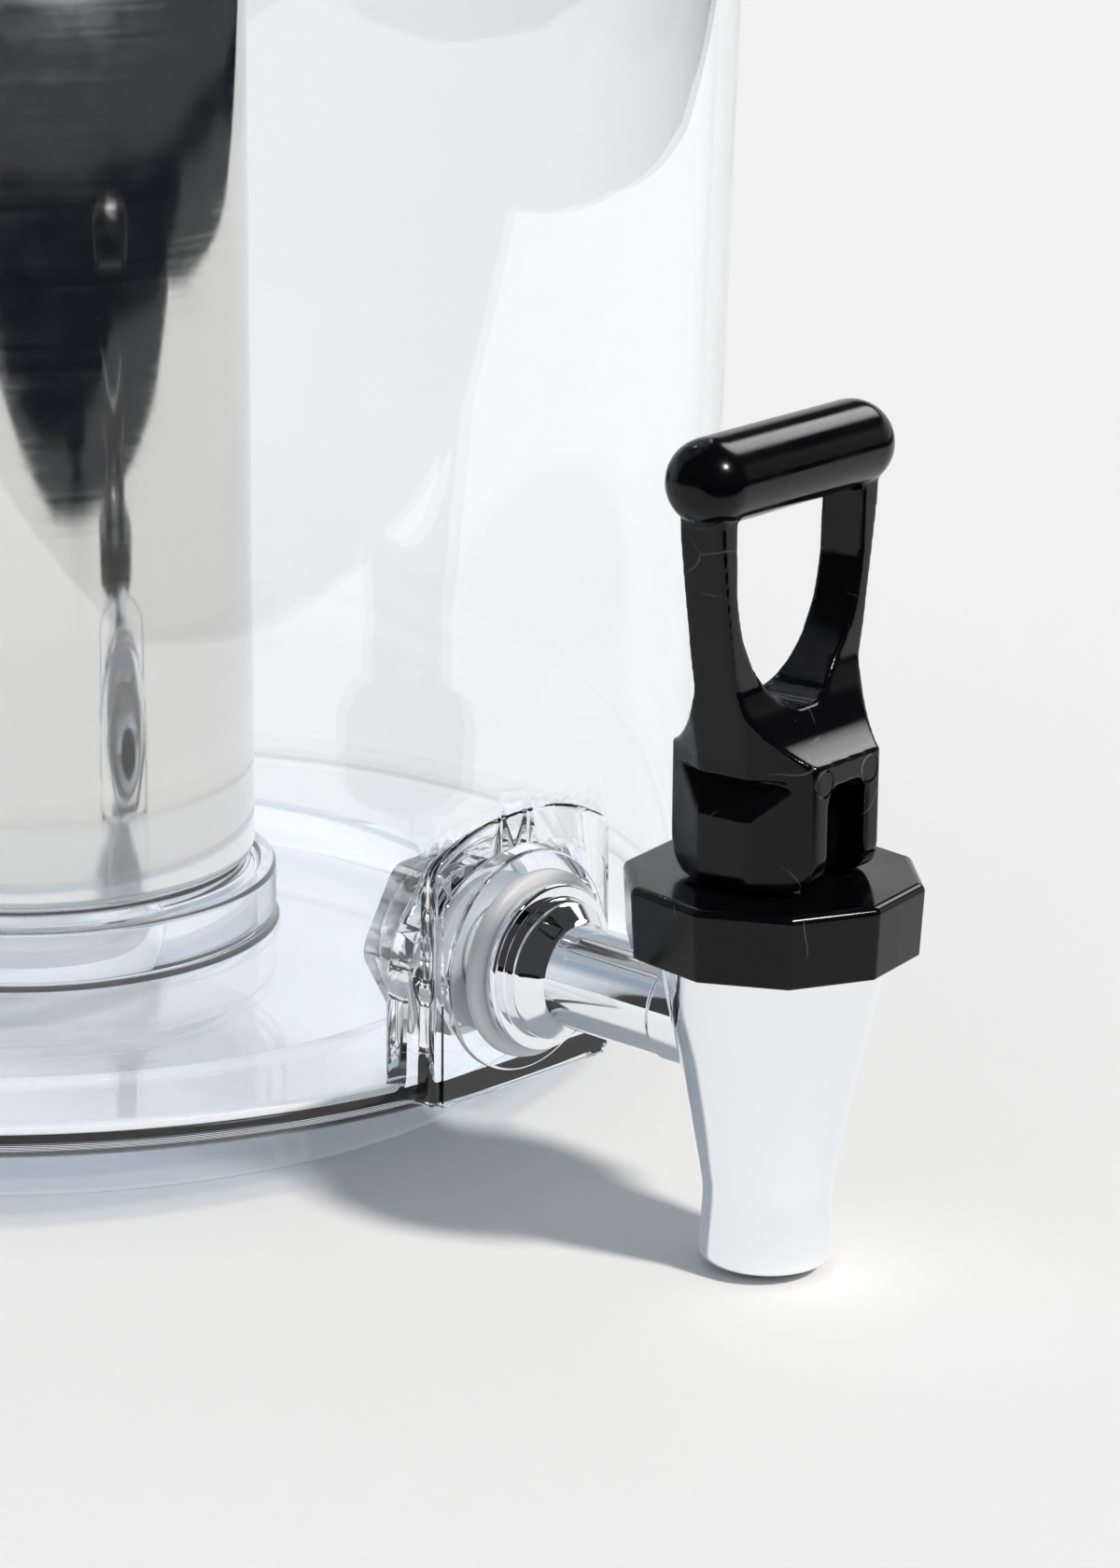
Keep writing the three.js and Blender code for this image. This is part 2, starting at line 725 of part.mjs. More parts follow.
// Legs and shoulders: the front outline and the side outline, each pushed through the other.
// The block's chamfers run on up the shoulders and move apart with the legs.
function handleFrame(low, high) {
  const root = low - legHalfDepth;
  const front = legShares.map(([up, out]) => [legHalfSpread * out, low + (high - low) * up]);
  const flareHigh = bonnetTop + flareTop;
  const side = flareShares.map(([up, out]) => [legHalfDepth + (blockHalfDepth - legHalfDepth) * out,
    low + (flareHigh - low) * up]);
  const frontSolid = pushedForward(mirrored([[blockHalfWidth, root], ...front]), -blockHalfDepth, blockHalfDepth, 0, 1);
  const outline = mirrored([[blockHalfDepth, root], ...side, [legHalfDepth, high]]);
  const sideSolid = pushedAcross(outline, legHalfSpread + cutOverrun, 1);
  const corners = [[blockHalfWidth, root], [blockHalfWidth, low], [flareHalfWidth, flareHigh]].flatMap(([half, height]) => (
    planCorners(half).flatMap(([x, y]) => [[x, y, height], [-x, y, height]])));
  const chamfer = wasm.Manifold.hull(corners);
  const above = box(legHalfSpread + cutOverrun, -blockHalfDepth, blockHalfDepth, flareHigh, high);
  return frontSolid.intersect(sideSolid).intersect(chamfer.add(above));
}

function handleWindow() {
  const low = bonnetTop + windowLow;
  const high = bonnetTop + gripRise;
  const outline = windowShares.map(([up, out]) => [windowHalfWidth * out, low + (high - low) * up]);
  return pushedForward(mirrored(outline), -blockHalfDepth, blockHalfDepth, 0, 1);
}

function handleGrip() {
  const straight = gripLength / 2 - gripRadius;
  const geometry = new THREE.CapsuleGeometry(gripRadius, 2 * straight, 5, 24);
  geometry.rotateZ(Math.PI / 2);
  geometry.translate(0, 0, bonnetTop + gripRise);
  return toSolid(geometry);
}

// The slot runs through the block from front to back so that the stem can swing in it.
function handleSlot() {
  const half = slotWidth / 2;
  const low = bonnetTop - cutOverrun;
  const corner = arc(half - slotCorner, bonnetTop + slotTop - slotCorner, slotCorner, 0, 90, 3);
  const outline = mirrored([[half, low], ...corner]);
  const reach = blockHalfDepth + cutOverrun;
  return pushedForward(outline, -reach, reach, 0, 1);
}

// A wedge out of each side of the block, chamfers included, deepest under its ledge.
function sideNotch(side) {
  const low = bonnetTop + notchLow;
  const high = bonnetTop + notchHigh;
  const outer = blockHalfWidth + cutOverrun;
  const points = [[side * blockHalfWidth, low], [side * outer, low], [side * outer, high],
    [side * (blockHalfWidth - notchDepth), high]];
  const shape = new THREE.Shape(points.map(([x, z]) => new THREE.Vector2(x, z)));
  return pushedForward(shape, -blockHalfDepth, blockHalfDepth, 0, 1);
}

function makeHandle() {
  const base = bonnetTop + handleGap;
  const blockHigh = bonnetTop + blockTop;
  const gripHigh = bonnetTop + gripRise;
  const frame = handleFrame(blockHigh, gripHigh).subtract(handleWindow());
  const solid = handleBlock(base, blockHigh).add(frame).add(handleGrip());
  const notched = solid.subtract(sideNotch(1)).subtract(sideNotch(-1));
  return turnedOverTap(notched.subtract(handleSlot()).subtract(pinHole(pinHalfLength + seatGap)));
}

addPiece('foot_dish', makeFoot(), clear);
addPiece('tank', makeTank(), clear);
addPiece('ice_tube', makeIceTube(), steel);
addPiece('ice_tube_foot', makeIceTubeFoot(), clear);
addPiece('ice_tube_cap', makeIceTubeCap(), black);
addPiece('ice_tube_seal', makeIceTubeSeal(), silicone);
addPiece('tank_lid', makeLid(), steel);
addPiece('lid_seal', makeLidSeal(), silicone);
addPiece('lid_knob', makeLidKnob(), black);
addPiece('lid_knob_screw', makeLidScrew(), steel);
addPiece('tap_body', makeTapBody(), chrome);
addPiece('tap_outer_washer', makeTapWasher(), silicone);
addPiece('tap_inner_washer', makeInnerWasher(), silicone);
addPiece('tap_nut', makeTapNut(), nylon);
addPiece('bonnet_nut', makeBonnet(), black);
addPiece('bonnet_seal', makeBonnetSeal(), silicone);
addPiece('tap_stem', makeStem(), nylon);
addPiece('seat_cup', makeSeatCup(), silicone);
addPiece('stem_spring', makeSpring(), steel);
addPiece('handle_pin', makePin(), steel);
addPiece('tap_handle', makeHandle(), black);

export default dispenser;
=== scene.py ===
import math
import bpy
import bmesh
import numpy as np
from mathutils import Matrix, Vector


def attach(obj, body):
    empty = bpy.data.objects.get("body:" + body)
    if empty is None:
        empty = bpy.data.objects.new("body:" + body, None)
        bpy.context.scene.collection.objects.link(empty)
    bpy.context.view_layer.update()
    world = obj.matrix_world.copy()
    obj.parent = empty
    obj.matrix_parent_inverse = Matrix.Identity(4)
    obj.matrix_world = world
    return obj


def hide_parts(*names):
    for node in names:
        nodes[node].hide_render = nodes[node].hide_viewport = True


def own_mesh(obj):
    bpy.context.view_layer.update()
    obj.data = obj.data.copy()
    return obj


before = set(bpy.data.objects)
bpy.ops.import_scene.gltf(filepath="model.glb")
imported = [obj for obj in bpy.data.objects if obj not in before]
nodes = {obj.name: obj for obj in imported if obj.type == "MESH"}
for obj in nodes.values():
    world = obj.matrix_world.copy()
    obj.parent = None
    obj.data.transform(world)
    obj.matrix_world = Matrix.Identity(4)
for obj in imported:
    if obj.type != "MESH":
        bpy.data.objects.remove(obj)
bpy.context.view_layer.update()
scene = bpy.context.scene
mm = 0.001  # every size below is in millimetres and is turned to metres once

# the photograph's own station, found from the tube, ring, tank and tap
camera = {"focalPixels": 5185, "imageHeight": 1680, "sensor": 36.0, "pitch": 0.284, "roll": -0.008,
          "place": (90.24, -792.5, 255.8), "floorLevel": 17.3, "turnDegrees": -46.914, "clipEnd": 50}


def aimCamera(c):
    turn = Matrix.Rotation(math.radians(c["turnDegrees"]), 3, "Z")
    forward = Vector((0, math.cos(c["pitch"]), -math.sin(c["pitch"])))
    down = Vector((0, -math.sin(c["pitch"]), -math.cos(c["pitch"])))
    right = Vector((1, 0, 0)) * math.cos(c["roll"]) + down * math.sin(c["roll"])
    below = Vector((-1, 0, 0)) * math.sin(c["roll"]) + down * math.cos(c["roll"])
    place = turn @ Vector(c["place"]) + Vector((0, 0, c["floorLevel"]))
    axes = [turn @ right, -(turn @ below), -(turn @ forward)]
    matrix = Matrix([[axes[k][i] for k in range(3)] + [place[i] * mm] for i in range(3)] + [[0, 0, 0, 1]])
    data = bpy.data.cameras.new("photoCamera")
    data.sensor_fit = "AUTO"
    data.sensor_width = c["sensor"]
    data.lens = c["focalPixels"] / c["imageHeight"] * c["sensor"]
    data.clip_end = c["clipEnd"]
    obj = bpy.data.objects.new("photoCamera", data)
    scene.collection.objects.link(obj)
    obj.matrix_world = matrix
    scene.camera = obj


aimCamera(camera)
print("camera set")

# materials


# sRGB hex to linear colour: divide by 12.92 near black, otherwise the 2.4 power law
def linear(hexText):
    values = [int(hexText[i:i + 2], 16) / 255 for i in (1, 3, 5)]
    return tuple(v / 12.92 if v <= 0.04045 else ((v + 0.055) / 1.055) ** 2.4 for v in values) + (1.0,)


# one node with its settings; links maps an input name or number to the output that feeds it
def addNode(tree, kind, links=None, **settings):
    node = tree.nodes.new(kind)
    for key, value in settings.items():
        if key.startswith("in_"):
            name = key[3:].replace("_", " ")
            node.inputs[int(name) if name.isdigit() else name].default_value = value
        else:
            setattr(node, key, value)
    for name, output in (links or {}).items():
        tree.links.new(output, node.inputs[name])
    return node


# the second value is another output or a plain number
def maths(tree, operation, first, second):
    if isinstance(second, (int, float)):
        return addNode(tree, "ShaderNodeMath", {0: first}, operation=operation, in_1=second).outputs["Value"]
    return addNode(tree, "ShaderNodeMath", {0: first, 1: second}, operation=operation).outputs["Value"]


def remap(tree, value, fromMin, fromMax, toMin=0.0, toMax=1.0):
    return addNode(tree, "ShaderNodeMapRange", {"Value": value}, in_From_Min=fromMin, in_From_Max=fromMax,
                   in_To_Min=toMin, in_To_Max=toMax).outputs["Result"]


# a cloud or mottle about 1 / scale metres wide
def noise(tree, coords, scale, detail, output="Fac", **more):
    return addNode(tree, "ShaderNodeTexNoise", {"Vector": coords}, in_Scale=scale, in_Detail=detail,
                   **more).outputs[output]


def bump(tree, height, strength, distance, links=None):
    return addNode(tree, "ShaderNodeBump", {"Height": height, **(links or {})}, in_Strength=strength,
                   in_Distance=distance).outputs["Normal"]


def mixColours(tree, factor, low, high):
    return addNode(tree, "ShaderNodeMix", {"Factor": factor}, data_type="RGBA", in_6=linear(low),
                   in_7=linear(high)).outputs[2]


def mixShaders(tree, factor, first, second):
    return addNode(tree, "ShaderNodeMixShader", {0: factor, 1: first, 2: second}).outputs[0]


def emission(tree, colour):
    return addNode(tree, "ShaderNodeEmission", in_Color=linear(colour), in_Strength=1.0).outputs[0]


# rays that a camera ray led to by mirrors and clear skins alone, not by way of a matt surface
def fromCamera(tree, ray):
    return maths(tree, "LESS_THAN", ray["Diffuse Depth"], 0.5)


def newFinish(name):
    material = bpy.data.materials.new(name)
    material.use_nodes = True
    tree = material.node_tree
    return material, tree, tree.nodes["Principled BSDF"], addNode(tree, "ShaderNodeTexCoord").outputs["Object"]


def makeClear():
    # Polycarbonate, injection moulded: water clear with a cold edge, faint flow lines and handling haze
    material, tree, shader, coords = newFinish("clearPolycarbonate")
    shader.inputs["Base Color"].default_value = linear("#FDFEFF")
    shader.inputs["Transmission Weight"].default_value = 1.0
    shader.inputs["IOR"].default_value = 1.585
    haze = noise(tree, coords, 28.0, 3.0)  # 35 mm clouds
    tree.links.new(remap(tree, haze, 0.35, 0.75, 0.008, 0.03), shader.inputs["Roughness"])
    flow = noise(tree, coords, 70.0, 1.0)  # 14 mm flow ripples
    tree.links.new(bump(tree, flow, 0.03, 0.0004), shader.inputs["Normal"])
    # lamp and sky light crosses each skin straight and only a little dimmer, so that it reaches the table
    ray = addNode(tree, "ShaderNodeLightPath").outputs
    passing = addNode(tree, "ShaderNodeBsdfTransparent", in_Color=linear("#EEF1F4")).outputs[0]
    light = maths(tree, "MAXIMUM", ray["Is Shadow Ray"], ray["Is Diffuse Ray"])
    tree.links.new(mixShaders(tree, light, shader.outputs[0], passing),
                   tree.nodes["Material Output"].inputs["Surface"])
    return material


def makeSteel():
    # Stainless steel, drawn and polished: a mirror with hairlines round the tube and small wipe marks
    material, tree, shader, coords = newFinish("polishedStainless")
    shader.inputs["Base Color"].default_value = linear("#E2E0DD")
    shader.inputs["Metallic"].default_value = 1.0
    squeezed = addNode(tree, "ShaderNodeMapping", {"Vector": coords}, in_Scale=(22.0, 22.0, 900.0))
    lines = noise(tree, squeezed.outputs["Vector"], 1.0, 5.0)  # 1 mm hairlines
    marks = noise(tree, coords, 160.0, 6.0, in_Roughness=0.7)  # 6 mm wipe marks
    both = maths(tree, "MULTIPLY", lines, marks)
    tree.links.new(remap(tree, both, 0.12, 0.42, 0.04, 0.1), shader.inputs["Roughness"])
    tree.links.new(bump(tree, lines, 0.012, 0.00005), shader.inputs["Normal"])
    return material


def makeChrome():
    # Chrome plate on moulded ABS: a blue white mirror with the slight waves of the moulding under it
    material, tree, shader, coords = newFinish("chromePlate")
    shader.inputs["Base Color"].default_value = linear("#F0F3F6")
    shader.inputs["Metallic"].default_value = 1.0
    haze = noise(tree, coords, 240.0, 4.0)  # 4 mm breath marks
    tree.links.new(remap(tree, haze, 0.4, 0.7, 0.025, 0.07), shader.inputs["Roughness"])
    waves = noise(tree, coords, 90.0, 0.0)  # 11 mm waves
    tree.links.new(bump(tree, waves, 0.08, 0.0005), shader.inputs["Normal"])
    return material


# two round ejector marks on the front of the handle's block, which stands turned
ejector = {"turn": 5, "tapAxis": -166.6, "blockFront": 13, "places": (-5.9, 5.3), "level": 78.9, "inner": 1.8,
           "outer": 2.2, "depth": 0.3}


def ejectorMark(across):
    turn = math.radians(ejector["turn"])
    return Vector((across * math.cos(turn) + ejector["blockFront"] * math.sin(turn),
                   ejector["tapAxis"] - ejector["blockFront"] * math.cos(turn) + across * math.sin(turn),
                   ejector["level"])) * mm


def makeBlack():
    # ABS, moulded against polished steel: piano black with hairline scratches and a little dust
    material, tree, shader, coords = newFinish("glossBlackAbs")
    shader.inputs["IOR"].default_value = 1.5
    shader.inputs["Specular IOR Level"].default_value = 0.22
    patches = remap(tree, noise(tree, coords, 130.0, 2.0), 0.56, 0.66)  # 8 mm patches that are worn or dusty
    dust = addNode(tree, "ShaderNodeTexVoronoi", {"Vector": coords}, in_Scale=420.0)  # a speck every 2.4 mm
    specks = maths(tree, "MULTIPLY", remap(tree, dust.outputs["Distance"], 0.02, 0.06, 1.0, 0.0), patches)
    # long fine scratches: the borders of large bent cells, broken off where the patches end
    bend = noise(tree, coords, 60.0, 2.0, "Color")
    bent = addNode(tree, "ShaderNodeVectorMath", {0: bend, 2: coords}, operation="MULTIPLY_ADD",
                   in_1=(0.012, 0.012, 0.012))  # by up to 12 mm
    cells = addNode(tree, "ShaderNodeTexVoronoi", {"Vector": bent.outputs["Vector"]}, feature="DISTANCE_TO_EDGE",
                    in_Scale=55.0)  # 18 mm cells
    scratches = maths(tree, "MULTIPLY", remap(tree, cells.outputs["Distance"], 0.002, 0.009, 0.9, 0.0), patches)
    worn = maths(tree, "MAXIMUM", specks, scratches)
    tree.links.new(mixColours(tree, worn, "#060608", "#4A4A4E"), shader.inputs["Base Color"])
    wipe = noise(tree, coords, 90.0, 5.0)  # 11 mm wipe marks
    tree.links.new(remap(tree, wipe, 0.4, 0.72, 0.07, 0.2), shader.inputs["Roughness"])
    rims = []
    for across in ejector["places"]:
        away = addNode(tree, "ShaderNodeVectorMath", {0: coords}, operation="DISTANCE", in_1=ejectorMark(across))
        rims.append(remap(tree, away.outputs["Value"], ejector["inner"] * mm, ejector["outer"] * mm))
    marked = bump(tree, maths(tree, "MULTIPLY", *rims), 1.0, ejector["depth"] * mm,
                  {"Normal": bump(tree, wipe, 0.04, 0.0003)})
    tree.links.new(marked, shader.inputs["Normal"])
    return material


def makeSilicone():
    # Silicone rubber, pressed: milky and half clear, with a soft satin skin
    material, tree, shader, coords = newFinish("milkySilicone")
    shader.inputs["Base Color"].default_value = linear("#F6F9FB")
    shader.inputs["IOR"].default_value = 1.42
    shader.inputs["Transmission Weight"].default_value = 0.3
    shader.inputs["Subsurface Weight"].default_value = 0.25
    shader.inputs["Subsurface Scale"].default_value = 0.002
    skin = noise(tree, coords, 900.0, 2.0)  # 1 mm satin grain
    tree.links.new(remap(tree, skin, 0.0, 1.0, 0.3, 0.42), shader.inputs["Roughness"])
    return material


def makeNylon():
    # Nylon, moulded and uncoloured: warm white and half clear, with a waxy, slightly mottled skin
    material, tree, shader, coords = newFinish("naturalNylon")
    shader.inputs["IOR"].default_value = 1.53
    shader.inputs["Roughness"].default_value = 0.12
    shader.inputs["Transmission Weight"].default_value = 0.92
    mottle = noise(tree, coords, 300.0, 3.0)  # 3 mm mottle
    tree.links.new(mixColours(tree, mottle, "#F3F3F1", "#FAFAF9"), shader.inputs["Base Color"])
    return material


clearPolycarbonate = makeClear()
polishedStainless = makeSteel()
chromePlate = makeChrome()
glossBlackAbs = makeBlack()
milkySilicone = makeSilicone()
naturalNylon = makeNylon()
print("materials ready")


def meshObject(name, points, faces, material, sharpDegrees=32):
    mesh = bpy.data.meshes.new(name)
    mesh.from_pydata(np.asarray(points).tolist(), [], faces)
    return finishObject(name, mesh, material, sharpDegrees)


# merged, faces outwards, smooth with hard edges only above the given angle
def finishObject(name, mesh, material, sharpDegrees=32):
    b = bmesh.new()
    b.from_mesh(mesh)
    bmesh.ops.remove_doubles(b, verts=b.verts, dist=2e-6)
    bmesh.ops.dissolve_degenerate(b, edges=b.edges, dist=1e-6)
    bmesh.ops.recalc_face_normals(b, faces=b.faces)
    b.to_mesh(mesh)
    b.free()
    mesh.polygons.foreach_set("use_smooth", np.ones(len(mesh.polygons), bool))
    mesh.set_sharp_from_angle(angle=math.radians(sharpDegrees))
    mesh.materials.clear()
    mesh.materials.append(material)
    obj = bpy.data.objects.new(name, mesh)
    scene.collection.objects.link(obj)
    return obj


# each corner of an outline becomes an arc: a quadratic curve between points set back along its two edges
def softened(points, radius, steps=4, closed=False):
    p = np.asarray(points, float)
    count = len(p)
    out = []
    for i in range(count):
        if not closed and i in (0, count - 1):
            out.append(p[i])
            continue
        before, here, after = p[i - 1], p[i], p[(i + 1) % count]
        back = np.linalg.norm(before - here)
        ahead = np.linalg.norm(after - here)
        cosine = np.dot(before - here, after - here) / (back * ahead)
        if cosine < -0.985:  # nearly straight on, so the point stays
            out.append(here)
            continue
        cut = min(radius, back * 0.45, ahead * 0.45)
        start = here + (before - here) / back * cut
        end = here + (after - here) / ahead * cut
        t = np.linspace(0, 1, steps + 1)[:, None]
        out.extend((1 - t) ** 2 * start + 2 * t * (1 - t) * here + t ** 2 * end)
    return np.array(out)


# radius(s), height(s) turned through a full circle: x = r cos a, y = r sin a, z = h
def turnedMesh(profile, segments, closed):
    p = np.asarray(profile, float)
    angle = np.arange(segments) * 2 * np.pi / segments
    rings = np.stack([p[:, :1] * np.cos(angle), p[:, :1] * np.sin(angle), np.repeat(p[:, 1:2], segments, 1)], -1)
    row = np.arange(segments)
    column = (row + 1) % segments
    last = len(p) if closed else len(p) - 1
    i = np.arange(last)[:, None]
    j = (i + 1) % len(p)
    quads = np.stack([i * segments + row, i * segments + column, j * segments + column, j * segments + row], -1)
    return rings.reshape(-1, 3), quads.reshape(-1, 4).tolist()


# a turned piece, upright or lying forward along -Y, with its place in its mesh
def turned(name, profile, material, segments=192, closed=False, along="up", centre=(0, 0, 0), sharpDegrees=32):
    points, faces = turnedMesh(profile, segments, closed)
    if along == "forward":
        points = np.stack([points[:, 0], -points[:, 2], points[:, 1]], -1)
    return meshObject(name, (points + np.array(centre)) * mm, faces, material, sharpDegrees)


# an outline pushed straight along the axis left out of its plane name, such as 'xz'
def prism(name, outline, low, high, plane, material, centre=(0, 0, 0)):
    p = np.asarray(outline, float)
    count = len(p)
    first = {"xz": (0, 2), "yz": (1, 2), "xy": (0, 1)}[plane]
    third = 3 - sum(first)
    points = np.zeros((2 * count, 3))
    points[:, first[0]] = np.tile(p[:, 0], 2)
    points[:, first[1]] = np.tile(p[:, 1], 2)
    points[:count, third] = low
    points[count:, third] = high
    row = np.arange(count)
    column = (row + 1) % count
    faces = np.stack([row, column, column + count, row + count], -1).tolist()
    faces += [row[::-1].tolist(), (row + count).tolist()]
    return meshObject(name, (points + np.array(centre)) * mm, faces, material)


# the object's mesh with its modifiers baked in
def applied(obj):
    view = bpy.context.evaluated_depsgraph_get()
    mesh = bpy.data.meshes.new_from_object(obj.evaluated_get(view))
    old = obj.data
    obj.modifiers.clear()
    obj.data = mesh
    bpy.data.meshes.remove(old)
    return obj


# joins, cuts or keeps the shared space of two closed meshes, and deletes the second
def combine(obj, other, operation):
    modifier = obj.modifiers.new("combine", "BOOLEAN")
    modifier.operation = operation
    modifier.solver = "EXACT"
    modifier.object = other
    bpy.context.view_layer.update()
    applied(obj)
    bpy.data.objects.remove(other)
    return obj


# a small radius on every hard edge, as a mould leaves it
def edged(obj, width, segments=2, degrees=32):
    modifier = obj.modifiers.new("edge", "BEVEL")
    modifier.width = width * mm
    modifier.segments = segments
    modifier.limit_method = "ANGLE"
    modifier.angle_limit = math.radians(degrees)
    modifier.harden_normals = True
    bpy.context.view_layer.update()
    return applied(obj)


# the same shape as a fresh object with merged points and its own shading
def resmoothed(obj, material, sharpDegrees=32):
    name = obj.name
    mesh = obj.data.copy()
    bpy.data.objects.remove(obj)
    return finishObject(name, mesh, material, sharpDegrees)


# shading that follows the large faces, so that small edges don't bend the light on flat ones
def flattened(obj):
    modifier = obj.modifiers.new("flat", "WEIGHTED_NORMAL")
    modifier.mode = "FACE_AREA"
    modifier.weight = 80
    modifier.keep_sharp = True
    bpy.context.view_layer.update()
    return applied(obj)


def place(obj, body, slotName, *nodeNames):
    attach(obj, body)
    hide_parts(*nodeNames)
    return obj


# points on a circle from one angle to another, in degrees
def arc(centre, radius, start, end, steps):
    angle = np.radians(np.linspace(start, end, steps + 1))
    return np.stack([centre[0] + radius * np.cos(angle), centre[1] + radius * np.sin(angle)], -1)


# a smooth curve through given points, a Catmull-Rom spline worked out as whole arrays
def throughPoints(points, steps):
    p = np.asarray(points, float)
    p = np.vstack([2 * p[0] - p[1], p, 2 * p[-1] - p[-2]])
    t = np.linspace(0, 1, steps, endpoint=False)[None, :, None]
    a, b, c, d = p[:-3, None], p[1:-2, None], p[2:-1, None], p[3:, None]
    curve = 0.5 * (2 * b + (c - a) * t + (2 * a - 5 * b + 4 * c - d) * t ** 2 + (3 * b - a - 3 * c + d) * t ** 3)
    return np.vstack([curve.reshape(-1, 2), p[-2]])


tank = {"bottom": 14.7, "height": 255, "radius": 114.6, "spread": 0.026, "wall": 3.6, "floor": 3.6, "heel": 5,
        "innerHeel": 3, "lip": 1.2, "ringRadius": 41.6, "ringWall": 3, "ringHeight": 9.7}
air = 0.3  # between pieces that rest on or turn in each other
tankTop = tank["bottom"] + tank["height"]
floorTop = tank["bottom"] + tank["floor"]
ringTop = floorTop + tank["ringHeight"]
rimRadius = tank["radius"] + tank["spread"] * tank["height"]
shankAxis = 36.65
boss = {"face": 116, "depth": 11.6, "halfWidth": 20.05, "top": 61, "bottom": 16.8, "arch": 37, "corner": 4,
        "edge": 0.9, "innerCentre": 34.4, "padDepth": 0.5, "padSide": 2, "padTop": 5.6, "ringRadius": 17.6,
        "ringDepth": 1.3, "hole": 8.0}


def bossOutline(sideInset, topInset):
    half = boss["halfWidth"] - sideInset
    top = boss["top"] - topInset
    arch = boss["arch"] - topInset
    centre = top - arch
    across = half - boss["corner"]
    shoulder = centre + math.sqrt((arch - boss["corner"]) ** 2 - across ** 2)
    turn = math.degrees(math.atan2(shoulder - centre, across))
    right = arc((across, shoulder), boss["corner"], 0, turn, 8)
    roof = arc((0, centre), arch, turn, 180 - turn, 40)
    left = arc((-across, shoulder), boss["corner"], 180 - turn, 180, 8)
    return np.vstack([[-half, boss["bottom"]], [half, boss["bottom"]], right, roof[1:-1], left])


def makeTank():
    t = tank
    innerFoot = t["radius"] - t["wall"]
    innerRim = rimRadius - t["wall"]
    inner = t["ringRadius"] - t["ringWall"]
    rise = np.linspace(0, 1, 24)[1:-1, None]  # rows up the wall, so that the boss touches only short faces
    outerWall = (1 - rise) * [t["radius"], t["bottom"] + t["heel"]] + rise * [rimRadius, tankTop]
    innerWall = (rise * [innerRim, tankTop] + (1 - rise) * [innerFoot, floorTop + t["innerHeel"]])[::-1]
    profile = np.vstack([
        [[0, t["bottom"]]],
        arc((t["radius"] - t["heel"], t["bottom"] + t["heel"]), t["heel"], -90, 0, 10),
        outerWall,
        softened([outerWall[-1], [rimRadius, tankTop], [innerRim, tankTop], innerWall[0]], t["lip"])[1:-1],
        innerWall,
        arc((innerFoot - t["innerHeel"], floorTop + t["innerHeel"]), t["innerHeel"], 0, -90, 8),
        softened([[60, floorTop], [t["ringRadius"], floorTop], [t["ringRadius"], ringTop], [inner, ringTop],
                  [inner, floorTop], [0, floorTop]], 0.8)[1:],
    ])
    shell = turned("tankShell", profile, clearPolycarbonate, 256)
    back = -boss["face"] + boss["depth"]
    plate = prism("bossPlate", bossOutline(0, 0), -boss["face"], back, "xz", clearPolycarbonate)
    edged(plate, boss["edge"], 3)
    within = t["wall"] / 3  # the plate ends inside the wall, so that only the housing shows on the inner side
    combine(plate, turned("bossLimit", [[0, 0], [innerFoot + within, 0], [innerRim + within, tankTop], [0, tankTop]],
                          clearPolycarbonate, 256), "DIFFERENCE")
    housing = np.vstack([[[-boss["halfWidth"], boss["bottom"]], [boss["halfWidth"], boss["bottom"]]],
                         arc((0, boss["innerCentre"]), boss["halfWidth"], 0, 180, 48)])
    block = prism("bossHousing", housing, -boss["face"] + 1, back, "xz", clearPolycarbonate)
    edged(block, boss["edge"], 3)
    pad = prism("bossPad", bossOutline(boss["padSide"], boss["padTop"]), -boss["face"] - boss["padDepth"],
                -boss["face"] + boss["padDepth"], "xz", clearPolycarbonate)
    face = turned("bossFace", softened([[0, boss["face"] - 3], [boss["ringRadius"], boss["face"] - 3],
                  [boss["ringRadius"], boss["face"] + boss["ringDepth"]], [0, boss["face"] + boss["ringDepth"]]], 0.5),
                  clearPolycarbonate, 96, along="forward", centre=(0, 0, shankAxis))
    hole = turned("bossHole", [[0, 90], [boss["hole"], 90], [boss["hole"], 125], [0, 125]], clearPolycarbonate, 64,
                  along="forward", centre=(0, 0, shankAxis))
    for other, operation in ((plate, "UNION"), (block, "UNION"), (pad, "UNION"), (face, "UNION"),
                             (hole, "DIFFERENCE")):
        combine(shell, other, operation)
    shell.name = "clearTank"
    return place(flattened(resmoothed(shell, clearPolycarbonate, 35)), "dispenser", "clear_plastic", "tank")


makeTank()
print("tank made")

foot = {"height": 14.4, "top": 83, "bottom": 89, "wall": 4.5, "edge": 1.2}


def makeFoot():
    f = foot
    profile = softened([[0, 0], [f["bottom"], 0], [f["top"], f["height"]], [f["top"] - f["wall"], f["height"]],
                        [f["bottom"] - f["wall"], f["wall"]], [0, f["wall"]]], f["edge"])
    place(turned("footDish", profile, clearPolycarbonate), "dispenser", "clear_plastic", "foot_dish")


makeFoot()

iceTube = {"radius": 38, "wall": 1, "bottom": 29.9, "height": 200, "corner": 2.4, "neck": 37, "footWall": 4.5,
           "footRoof": 3.2, "flange": 3.5, "spigot": 8, "spigotWall": 2.4, "knobRadius": 9, "knobHeight": 11,
           "seal": 1.5}


